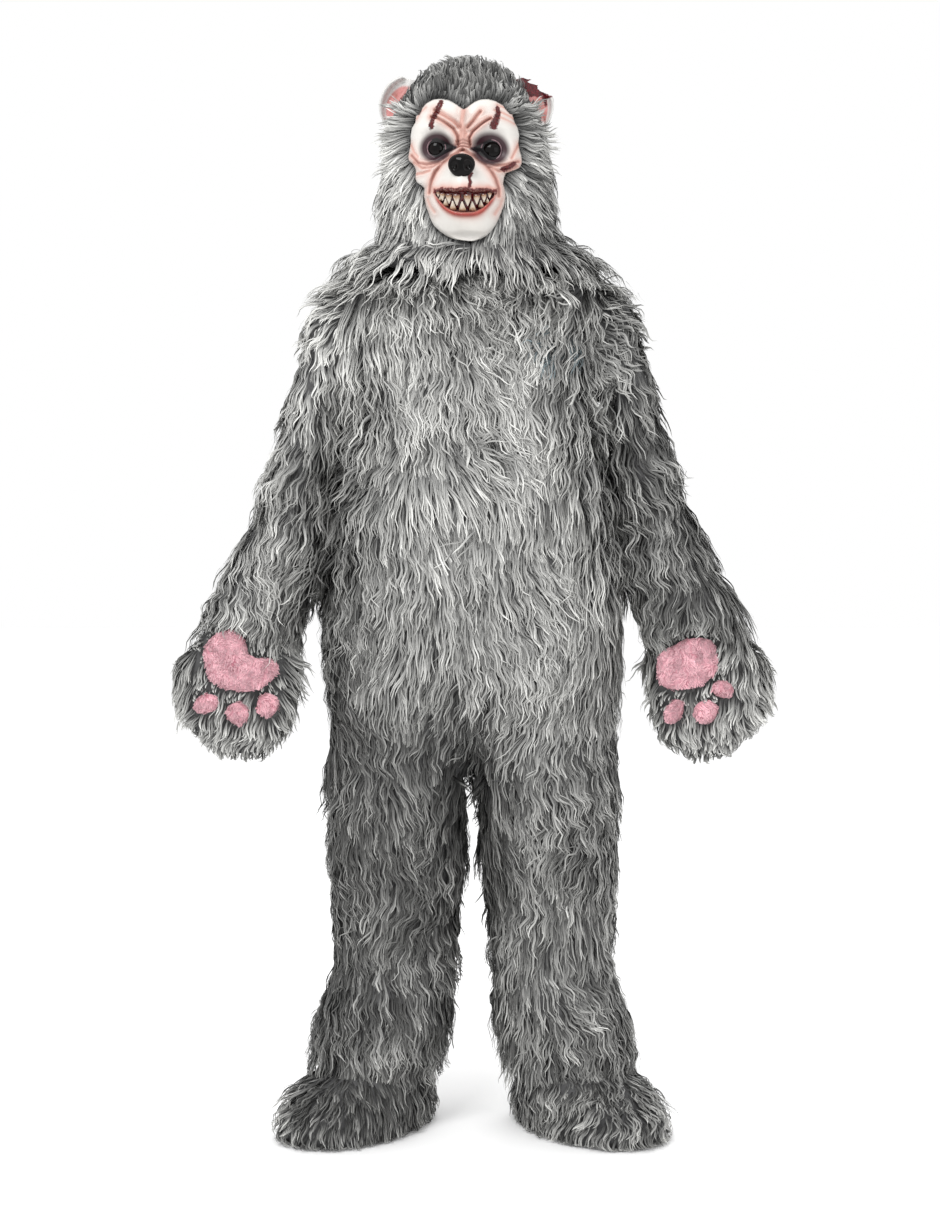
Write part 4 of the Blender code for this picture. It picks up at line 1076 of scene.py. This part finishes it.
def maskForward(x, z, fine=True):
    hood = np.array(mask["hood"])
    half = np.interp(z, hood[:, 0], hood[:, 1]) - 0.006
    front = np.interp(z, hood[:, 0], hood[:, 2]) - 0.006
    across = np.clip(np.abs(x) / half, 0, 1)
    base = front * (1 - across ** (2 / 0.88)) ** 0.44
    beside = np.where(x > 0, besideMask(1, z), besideMask(-1, z))
    edge = np.clip(np.abs(x) / beside, 0, 1)
    ends = between(z, mask["low"], mask["low"] + 0.016) * between(-z, -mask["high"] - 0.004, -mask["high"] + 0.014)
    rise = np.zeros(np.shape(x))
    for fx, fz, long, short, angle, height, paired in mask["forms"]:
        for sign in ((1, -1) if paired else (1,)):
            cos, sin = math.cos(math.radians(angle)), math.sin(math.radians(angle))
            dx, dz = sign * (x - mask["middle"]) - fx, z - fz
            rise += height * bell(dx * cos + dz * sin, long, dz * cos - dx * sin, short)
    if fine:
        rise = rise + foldsAt(x, z)[1]
        inside = mouthDepth(x, z)
        rise = rise - 0.012 * between(inside, 0.0, 0.0050)
        rise = rise + 0.0045 * bell(inside + 0.0030, 0.0030) * (1 - 0.75 * between(z, 1.588, 1.602))
        rise = rise - 0.0035 * bell(nearStroke(x, z, mask["gash"]), 0.004)
        for name in ("scar", "cheekScar"):
            rise = rise + 0.0020 * bell(nearStroke(x, z, mask[name]), 0.0034)
        rise = rise - 0.0040 * between(aboveBrows(x, z), -0.0015, 0.0020)
    return base + rise * (1 - edge**6) * ends + mask["forward"] * (1 - edge**16)


def turnHead(points):
    points = np.asarray(points, float)
    share = between(points[..., 2], 1.500, 1.580)
    angle = math.radians(-4) * share
    x = points[..., 0] * np.cos(angle) - points[..., 1] * np.sin(angle) - 0.010 * share
    y = points[..., 0] * np.sin(angle) + points[..., 1] * np.cos(angle)
    return np.stack([x, y, points[..., 2] + ground], -1)


def onMask(x, z, out=0.0, fine=False):
    x, z = np.asarray(x, float), np.asarray(z, float)
    return turnHead(np.stack([x, -maskForward(x, z, fine) - out, z], -1))


def addPaint(piece, name, columns):
    layer = piece.data.color_attributes.new(name=name, type="FLOAT_COLOR", domain="POINT")
    values = np.ones((len(piece.data.vertices), 4), np.float32)
    for index, column in enumerate(columns):
        values[:, index] = column
    layer.data.foreach_set("color", values.ravel())


def makeLatexMaterial():
    material, tree, shader = newMaterial("paintedLatex", Roughness=0.40, Specular_IOR_Level=0.45)
    crease, socket, wound = paintedMasks(tree, "maskPaint")[:3]
    lip, mouth, black = paintedMasks(tree, "maskStain")[:3]
    skin, cloud = cloudy(tree, 26.0, 4.0, (0.58, 0.555, 0.52), (0.655, 0.635, 0.605))
    fineNoise = {"scale": 260.0, "detail": 4.0, "roughness": 0.7}
    bloodTone, fine = cloudy(tree, first=(0.016, 0.001, 0.001), second=(0.115, 0.003, 0.004), **fineNoise)
    mouthTone, _ = cloudy(
        tree, first=(0.020, 0.002, 0.003), second=(0.13, 0.006, 0.009), low=0.35, high=0.75, **fineNoise)
    lipTone, _ = cloudy(tree, 26.0, 4.0, (0.20, 0.012, 0.010), (0.42, 0.060, 0.042))
    # the first mask: painted shade along the folds with the pink patches and the pink round the mouth; it turns the
    # latex pink, and dark red-brown where strongest
    crease = mathNode(tree, "MULTIPLY", crease, mathNode(tree, "ADD", 0.60, mathNode(tree, "MULTIPLY", cloud, 0.8)))
    colour = mixColors(tree, blackToWhite(tree, crease, 0.0, 0.45), skin, (0.56, 0.33, 0.28))
    colour = mixColors(tree, blackToWhite(tree, crease, 0.45, 0.95), colour, (0.20, 0.065, 0.05))
    socket = ramp(tree, socket, [(0.0, grey(0)), (0.35, grey(0.65)), (0.7, grey(1))])
    colour = mixColors(tree, socket, colour, (0.032, 0.009, 0.014))
    colour = mixColors(tree, black, colour, (0.003, 0.002, 0.003))
    blood = blackToWhite(tree, roughened(tree, wound, fine, 1.4), 0.35, 0.62)
    colour = mixColors(tree, blood, colour, bloodTone)
    colour = mixColors(tree, lip, colour, lipTone)
    tree.links.new(mixColors(tree, mouth, colour, mouthTone), shader.inputs["Base Color"])
    wet = mathNode(tree, "MAXIMUM", mouth, mathNode(tree, "MULTIPLY", wound, 0.8))
    wet = mathNode(tree, "MAXIMUM", wet, mathNode(tree, "MULTIPLY", lip, 0.9))
    gloss = mathNode(tree, "SUBTRACT", 0.42, mathNode(tree, "MULTIPLY", wet, 0.26))
    tree.links.new(gloss, shader.inputs["Roughness"])
    addBump(tree, shader, fine, 0.25, 0.0006)
    return material


def addMask():
    piece, grid = startPiece(
        "mask_latex", bpy.ops.mesh.primitive_grid_add,
        x_subdivisions=mask["columns"], y_subdivisions=mask["rows"], size=2)
    z = mask["low"] + (mask["high"] - mask["low"]) * (0.5 + 0.5 * grid[:, 1])
    x = grid[:, 0] * np.where(grid[:, 0] > 0, besideMask(1, z), besideMask(-1, z))
    placeVertices(piece, onMask(x, z, fine=True))
    tone, _ = foldsAt(x, z)
    socket = np.zeros(len(x))
    black = np.zeros(len(x))
    for (ex, ez, radius), (cx, cz) in zip(mask["eyes"], mask["corners"]):
        reach = np.hypot((x - ex) * 0.92, (z - ez) * 1.02)
        socket = np.maximum(socket, 1 - between(reach, radius * 1.05, radius * 2.05))
        run, climb = cx - ex, cz - ez  # from the eye to its inner corner
        share = np.clip(((x - ex) * run + (z - ez) * climb) / (run**2 + climb**2), 0, 1)
        off = np.hypot(x - ex - share * run, z - ez - share * climb)
        wide = radius * 1.02 * (1 - share**1.3) + 0.0004
        black = np.maximum(black, 1 - between(off, wide, wide + 0.0014))
        socket = np.maximum(socket, 0.75 * (1 - between(off, wide, wide + 0.006)))
    blood = bell(nearStroke(x, z, mask["gash"]), 0.0038 + 0.14 * np.clip(1.746 - z, 0, 0.028))
    for name, half, amount in (("scar", 0.0054, 1), ("cheekScar", 0.0046, 1), ("trickle", 0.0034, 0.95)):
        blood = np.maximum(blood, amount * bell(nearStroke(x, z, mask[name]), half))
    inside = mouthDepth(x, z)
    lower = 1 - between(z, 1.588, 1.602)
    lip = bell(inside + 0.0030, 0.0026 + 0.0016 * lower) * (0.12 + 0.88 * lower)
    blood = np.maximum(blood, 0.68 * (1 - lower) * bell(inside + 0.0005, 0.0040))
    black = np.maximum(black, 0.94 * between(aboveBrows(x, z), -0.0005, 0.0015))
    # the first paint: painted shade along the folds, pink round the mouth and the pink patches
    pink = np.maximum(tone, bell(np.clip(-inside, 0, 1), 0.010) * 0.50)
    for middle, squash, amount, half in mask["flush"]:
        off = np.hypot((x - middle[0]) * squash[0], (z - middle[1]) * squash[1])
        pink = np.maximum(pink, amount * bell(off, half))
    addPaint(piece, "maskPaint", [pink, socket, blood])
    addPaint(piece, "maskStain", [lip, between(inside, 0.0005, 0.003), black])
    corners, ways = readSurface(piece.data)
    hairy = aboveBrows(corners[:, :, 0].mean(1) + 0.0205, corners[:, :, 2].mean(1) - ground) > 0.0005
    activate(piece)
    addWall(piece, mask["wall"])
    piece.data.shade_smooth()
    finishPiece(piece, makeLatexMaterial(), "mask")
    return corners[hairy], ways[hairy]


def makeGlossMaterial():
    material, tree, shader = newMaterial("blackGloss", Roughness=0.06, Specular_IOR_Level=0.15)
    colour, cloud = cloudy(tree, 120.0, 3.0, (0.001, 0.001, 0.001), (0.005, 0.003, 0.003), 0.35, 0.75)
    tree.links.new(colour, shader.inputs["Base Color"])
    gloss = mathNode(tree, "ADD", 0.04, mathNode(tree, "MULTIPLY", cloud, 0.07))
    tree.links.new(gloss, shader.inputs["Roughness"])
    return material


def makeRimMaterial():
    material, tree, shader = newMaterial("eyeRimLatex", Roughness=0.35)
    colour, _ = cloudy(tree, 90.0, 4.0, (0.07, 0.035, 0.045), (0.26, 0.16, 0.18))
    tree.links.new(colour, shader.inputs["Base Color"])
    return material


glossMaterial = makeGlossMaterial()
rimMaterial = makeRimMaterial()

eye = {"flat": 0.70, "sunk": 0.0035, "rimWide": 1.04, "rimThick": 0.07, "rimOut": 0.0015}


def seatAt(x, z):
    return maskForward(np.array(x), np.array(z), False)


def addEye(name, x, z, radius):
    piece, ball = startPiece(
        "eye_dome_" + name, bpy.ops.mesh.primitive_uv_sphere_add, segments=40, ring_count=24, radius=radius)
    seat = seatAt(x, z)
    ball[:, 1] *= eye["flat"]
    places = np.stack([x + ball[:, 0], -seat + eye["sunk"] + ball[:, 1], z + ball[:, 2]], -1)
    placeVertices(piece, turnHead(places))
    piece.data.shade_smooth()
    finishPiece(piece, glossMaterial, "eye_" + name)
    rim, ring = startPiece(
        "eye_rim_" + name, bpy.ops.mesh.primitive_torus_add, major_radius=radius * eye["rimWide"],
        minor_radius=radius * eye["rimThick"], major_segments=48, minor_segments=12)
    seatRing = 0.5 * seatAt(x + ring[:, 0], z + ring[:, 1]) + 0.5 * seat
    places = np.stack([x + ring[:, 0], -seatRing - eye["rimOut"] - ring[:, 2], z + ring[:, 1]], -1)
    placeVertices(rim, turnHead(places))
    rim.data.flip_normals()
    rim.data.shade_smooth()
    finishPiece(rim, rimMaterial, None)


noseForm = {"thick": 0.013, "nostril": (0.0105, -0.002), "nostrilHalf": (0.0046, 0.0058), "out": 0.0035}


def addNose():
    x, z, half, tall = mask["nose"]
    piece, ball = startPiece(
        "nose_lacquer", bpy.ops.mesh.primitive_uv_sphere_add, segments=48, ring_count=32, radius=1)
    dx, dz = ball[:, 0] * half * (1 + 0.10 * ball[:, 2]), ball[:, 2] * tall
    depth = noseForm["thick"] * ball[:, 1]
    (across, up), (halfWide, halfTall) = noseForm["nostril"], noseForm["nostrilHalf"]
    for side in (-1, 1):
        depth = np.where(ball[:, 1] < 0, depth + 0.008 * bell(dx - side * across, halfWide, dz - up, halfTall), depth)
    depth = np.where(ball[:, 1] < 0, depth + 0.0022 * bell(dx, 0.0022) * (dz < 0.004), depth)  # the groove
    places = np.stack([x + dx, -seatAt(x, z) - noseForm["out"] + depth, z + dz], -1)
    placeVertices(piece, turnHead(places))
    piece.data.shade_smooth()
    finishPiece(piece, glossMaterial, "nose")


def makeIvoryMaterial():
    material, tree, shader = newMaterial("ivoryDarkAtGum", Roughness=0.28, Coat_Weight=0.4)
    _, cloud = cloudy(tree, 300.0, 4.0, grey(0), grey(1))
    grain = roughened(tree, paintedMasks(tree, "toothPaint")[0], cloud, 0.5)
    colour = ramp(tree, grain, [  # from dark red at the gum to the pale tip
        (0.05, (0.060, 0.008, 0.007)), (0.26, (0.30, 0.17, 0.09)),
        (0.55, (0.51, 0.42, 0.33)), (1.0, (0.61, 0.55, 0.47)),
    ])
    tree.links.new(colour, shader.inputs["Base Color"])
    return material


teeth = {  # across, length and half width of each tooth
    "upper": [
        (-0.0360, 0.0085, 0.0036), (-0.0285, 0.0125, 0.0049), (-0.0173, 0.0150, 0.0057), (-0.0040, 0.0170, 0.0063),
        (0.0140, 0.0175, 0.0066), (0.0287, 0.0155, 0.0058), (0.0400, 0.0130, 0.0049), (0.0490, 0.0090, 0.0038),
    ],
    "lower": [
        (-0.0325, 0.0090, 0.0038), (-0.0232, 0.0130, 0.0049), (-0.0110, 0.0155, 0.0057), (0.0048, 0.0165, 0.0063),
        (0.0212, 0.0160, 0.0060), (0.0350, 0.0135, 0.0051), (0.0452, 0.0095, 0.0040),
    ],
}


toothForm = {"swell": 0.30, "halfThick": 0.0032, "sunk": 0.0045, "upperOut": 0.0028}


def addTooth(name, up, x, tall, half):
    m = mask["mouth"]
    side = abs(x - m["middle"]) / m["half"]
    if up > 0:
        gum = m["top"] + m["topLift"] * side**2 - 0.0085 * (1 - side**3)
    else:
        gum = m["bottom"] + m["bottomLift"] * side**2.6 + 0.0015
    tooth, _ = startPiece(
        name, bpy.ops.mesh.primitive_cone_add, vertices=10, radius1=1, radius2=0.12, depth=1, end_fill_type="TRIFAN")
    bpy.ops.object.mode_set(mode="EDIT")
    bpy.ops.mesh.select_all(action="SELECT")
    bpy.ops.mesh.subdivide(number_cuts=2)
    bpy.ops.object.mode_set(mode="OBJECT")
    raw = np.array([v.co for v in tooth.data.vertices])
    along = raw[:, 2] + 0.5
    swell = 1 + toothForm["swell"] * np.sin(np.pi * np.clip(along, 0, 1))
    dx = raw[:, 0] * half * swell
    dy = raw[:, 1] * toothForm["halfThick"] * swell
    dz = -up * along * tall
    seat = seatAt(x, gum)
    base = seat + (seatAt(x, gum - up * tall) - seat) * along
    forward = toothForm["upperOut"] if up > 0 else 0.0
    placeVertices(tooth, turnHead(np.stack([x + dx, -(base - toothForm["sunk"] + forward) + dy, gum + dz], -1)))
    addPaint(tooth, "toothPaint", [np.clip(along * 1.1, 0, 1)] * 3)
    tooth.data.shade_smooth()
    return tooth


def addTeeth():
    ivory = makeIvoryMaterial()
    for row, up in (("upper", 1), ("lower", -1)):
        made = [addTooth("teeth_ivory_" + row, up, *sizes) for sizes in teeth[row]]
        activate(made[0])
        for tooth in made:
            tooth.select_set(True)
        bpy.ops.object.join()
        turnOutwards()
        finishPiece(made[0], ivory, "teeth_" + row)


def rimSkin():
    corners, ways = [], []
    for side in (-1, 1):
        rows = []
        for height in np.linspace(mask["low"] + 0.002, 1.748, 90):
            ends = []
            for step in (-0.003, 0.013):  # from just inside the mask's edge to the hood beside it
                x = side * (float(besideMask(side, height)) + step)
                ends.append(turnHead((x, -(seatAt(x, height) - mask["forward"] - 0.003), height)))
            rows.append(ends)
        for (a, b), (c, d) in zip(rows, rows[1:]):
            corners += [(a, b, d), (a, d, c)]
            ways += [[unit(np.array([0.35 * side, -1.0, 0.0]))] * 3] * 2
    return np.array(corners), np.array(ways)


browSkin = addMask()
browLook = {
    **suitLook, "density": 150000, "clump": 0.008, "length": 0.036, "lift": 0.008, "swirl": 0.35, "wave": 0.0022,
    "waveLong": 0.045, "steps": 6, "width": 0.0034, "grainOf": hoodGrain,
}
growFur("fur_brow", browSkin, browLook, flowHood, toneHood, furMaterial, 77)
rimLook = {**browLook, "density": 130000, "length": 0.050, "lift": 0.007}
growFur("fur_rim", rimSkin(), rimLook, flowHood, toneHood, furMaterial, 78)
for sideName, form in zip(("right", "left"), mask["eyes"]):
    addEye(sideName, *form)
addNose()
addTeeth()
print("mask ready")


def makePlushMaterial():
    material, tree, shader = newMaterial("pinkPlush", Roughness=0.85, Specular_IOR_Level=0.2, Sheen_Weight=0.25)
    _, cloud = cloudy(tree, 55.0, 4.0, grey(0), grey(1))
    patches = ramp(tree, cloud, [(0.28, (0.52, 0.19, 0.24)), (0.45, (0.68, 0.34, 0.39)), (0.70, (0.74, 0.43, 0.47))])
    speckle, fine = cloudy(tree, 900.0, 3.0, (0.86, 0.84, 0.85), (1.05, 1.05, 1.05), 0.30, 0.65, 0.7)
    tree.links.new(mixColors(tree, 1.0, patches, speckle, "MULTIPLY"), shader.inputs["Base Color"])
    addBump(tree, shader, fine, 0.7, 0.0015)
    return material


plushMaterial = makePlushMaterial()
plushFibre = makeFurMaterial("plushFibre", (0.60, 0.27, 0.32), (0.70, 0.37, 0.42), (0.74, 0.45, 0.49), 0.8)
plushLook = {
    "density": 250000, "clump": 0.007, "length": 0.0065, "lift": 0.0024, "swirl": 1.0, "swirlSize": 0.03,
    "stray": 0.5, "drift": 0.05, "waveLong": 0.012, "wave": 0.0006, "droop": 0.0, "gather": 0.1,
    "roll": 0.35, "width": 0.0018, "steps": 3, "toneClump": 0.04, "toneLock": 0.06,
}
pad = {"rise": {"palm_pad": 0.0065, "toe_pad": 0.0085}, "gap": 0.001, "sunk": -0.0005}


def tonePlush(points):
    return 0.62 + 0.30 * noiseAt(points, 0.02, 4)


def flowPlush(points, ups):
    run = np.zeros_like(points)
    run[:, 2] = -1
    run[:, 0] = 0.8 * np.sin(points[:, 2] * 90)
    return run


def addPad(side, name, middle, outline, seed):
    sideName = "left" if side > 0 else "right"
    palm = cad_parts["mitt_palm_" + sideName].data
    palm.calc_loop_triangles()
    wall = bvhtree.BVHTree.FromPolygons(
        [v.co[:] for v in palm.vertices], [t.vertices[:] for t in palm.loop_triangles])
    piece, ball = startPiece(
        name + "_plush_" + sideName, bpy.ops.mesh.primitive_uv_sphere_add, segments=48, ring_count=20, radius=1)
    angle, flat = np.arctan2(ball[:, 2], ball[:, 0]), np.hypot(ball[:, 0], ball[:, 2]).clip(0, 1)
    reach = reachOf(outline, angle) * flat**1.15
    x, z = middle[0] + reach * np.cos(angle), middle[1] + reach * np.sin(angle)
    spots = [wall.ray_cast(Vector((side * px, -1.0, pz + ground)), Vector((0, 1, 0)))[0] for px, pz in zip(x, z)]
    y = np.array([spot[1] if spot else np.nan for spot in spots])  # the palm behind each point of the pad
    y[np.isnan(y)] = np.nanmax(y)
    rise = pad["rise"]["palm_pad" if name == "palm_pad" else "toe_pad"] * (1 - flat**4) ** 0.6
    y = np.where(ball[:, 1] < 0, y - rise - pad["gap"], y + pad["sunk"])
    placeVertices(piece, np.stack([side * x, y, z + ground], -1))
    turnOutwards()
    piece.data.shade_smooth()
    finishPiece(piece, plushMaterial, name + "_" + sideName)
    corners, ways = readSurface(piece.data)
    shown = ways[:, :, 1].mean(1) < 0.15
    skin = (corners[shown], ways[shown])
    fibres = growFur("fibres_" + name + "_" + sideName, skin, plushLook, flowPlush, tonePlush, plushFibre, seed)


for side, pads in padForms.items():
    for index, form in enumerate(pads):
        addPad(side, *form, 200 + 10 * index + side)
print("pads ready")

ear = {
    "height": 1.771, "centre": 0.104, "reach": 0.047, "halfTall": 0.051, "rootHalf": 0.043,
    "forward": 0.018, "sweep": 82, "cup": 0.010, "roll": 0.0050, "wall": 0.0045,
    "sunk": 0.016, "bites": [(38, 16, 0.34), (58, 11, 0.52), (78, 12, 0.40)],
}


def makeEarMaterial():
    material, tree, shader = newMaterial("earLatex", Roughness=0.42, Specular_IOR_Level=0.45)
    inner, wound = paintedMasks(tree, "earPaint")[:2]
    pale, _ = cloudy(tree, 45.0, 3.0, (0.58, 0.565, 0.55), (0.67, 0.66, 0.645))
    pink, _ = cloudy(tree, 45.0, 3.0, (0.32, 0.12, 0.10), (0.62, 0.27, 0.26), 0.35, 0.65)
    red, fine = cloudy(tree, 240.0, 5.0, (0.016, 0.001, 0.002), (0.13, 0.004, 0.009), 0.35, 0.65, 0.7)
    torn = blackToWhite(tree, roughened(tree, wound, fine, 1.1), 0.40, 0.58)
    colour = mixColors(tree, torn, mixColors(tree, inner, pale, pink), red)
    tree.links.new(colour, shader.inputs["Base Color"])
    gloss = mathNode(tree, "SUBTRACT", 0.42, mathNode(tree, "MULTIPLY", wound, 0.2))
    tree.links.new(gloss, shader.inputs["Roughness"])
    relief = mathNode(tree, "MULTIPLY", fine, mathNode(tree, "ADD", wound, 0.08))
    addBump(tree, shader, relief, 0.5, 0.0012)
    return material


earMaterial = makeEarMaterial()


def addEar(name, side, torn):
    piece, grid = startPiece(
        "ear_latex_" + name, bpy.ops.mesh.primitive_grid_add, x_subdivisions=26, y_subdivisions=70, size=2)
    angle = np.radians(ear["sweep"]) * grid[:, 1]
    share = 0.5 + 0.5 * grid[:, 0]
    bite = np.zeros(len(angle))
    if torn:
        for middle, half, depth in ear["bites"]:
            bite = np.maximum(bite, depth * bell(np.degrees(angle) - middle, half))
        bite += 0.05 * np.abs(np.sin(angle * 13) * np.sin(angle * 31)) * (np.degrees(angle) > 20)
    hood = np.array(mask["hood"] + [(1.840, 0.062, 0.075)])
    rootZ = ear["height"] + ear["rootHalf"] * np.sin(angle)
    wallX = np.interp(rootZ, hood[:, 0], hood[:, 1]) - 0.004
    rimX = np.maximum(ear["centre"] + ear["reach"] * np.cos(angle), wallX + 0.006)
    rootX = wallX - ear["sunk"]
    rimZ = ear["height"] + ear["halfTall"] * np.sin(angle)
    reach = share * (1 - bite)
    x = rootX + (rimX - rootX) * reach
    z = rootZ + (rimZ - rootZ) * reach
    reach = ((x - wallX) / (rimX - wallX)).clip(0, 1)
    cup = ear["cup"] * np.sin(np.pi * np.minimum(reach * 1.02, 1.0)) ** 0.9 * np.cos(angle) ** 0.5
    roll = ear["roll"] * bell(reach - 0.93, 0.10)
    y = -ear["forward"] + cup - roll
    placeVertices(piece, turnHead(np.stack([side * x, y, z], -1)))
    inner = 1 - between(np.hypot(np.maximum(reach - 0.22, 0) / 0.50, (angle - 0.12) / 0.85), 0.75, 1.0)
    wound = np.zeros(len(angle))
    if torn:
        high = between(np.degrees(angle), 8, 28)
        wound = np.maximum(high, (bite > 0.05) * between(share, 0.5, 0.8))
        wound = np.maximum(wound, 0.75 * between(np.degrees(angle), -18, 10) * bell(reach - 0.5, 0.22))
    addPaint(piece, "earPaint", [inner, wound])
    activate(piece)
    addWall(piece, ear["wall"], 0)
    turnOutwards()
    piece.data.shade_smooth()
    finishPiece(piece, earMaterial, "ear_" + name)


addEar("right", -1, False)
addEar("left", 1, True)
print("ears ready")


studio = {
    "emission": 0.08, "world": 1.0, "aim": (0, 0, -0.4),
    "lamps": [  # name, place, size, power
        ("keyLight", (-1.4, -2.8, 3.0), 1.8, 110),
        ("fillLight", (2.6, -3.0, 0.8), 2.6, 25),
        ("backLight", (0.5, 3.0, 2.2), 2.4, 50),
    ],
}


def addStudio():
    floor, _ = startPiece("floor", bpy.ops.mesh.primitive_plane_add, size=30, location=(0, 0, ground - 0.002))
    white = (1, 1, 1, 1)
    material, _, _ = newMaterial(
        "paleFloor", Base_Color=(0.92, 0.92, 0.92, 1), Roughness=0.9, Emission_Color=white,
        Emission_Strength=studio["emission"])
    floor.data.materials.append(material)
    world = bpy.data.worlds.new("studio")
    world.use_nodes = True
    background = world.node_tree.nodes["Background"].inputs
    background[0].default_value = white
    background[1].default_value = studio["world"]
    bpy.context.scene.world = world
    for name, place, size, power in studio["lamps"]:
        bpy.ops.object.light_add(type="AREA", location=place)
        lamp = bpy.context.object
        lamp.name = name
        lamp.data.size = size
        lamp.data.energy = power
        lamp.rotation_euler = (Vector(studio["aim"]) - Vector(place)).to_track_quat("-Z", "Y").to_euler()
    bpy.context.scene.view_settings.view_transform = "Standard"


addStudio()
print("studio ready")
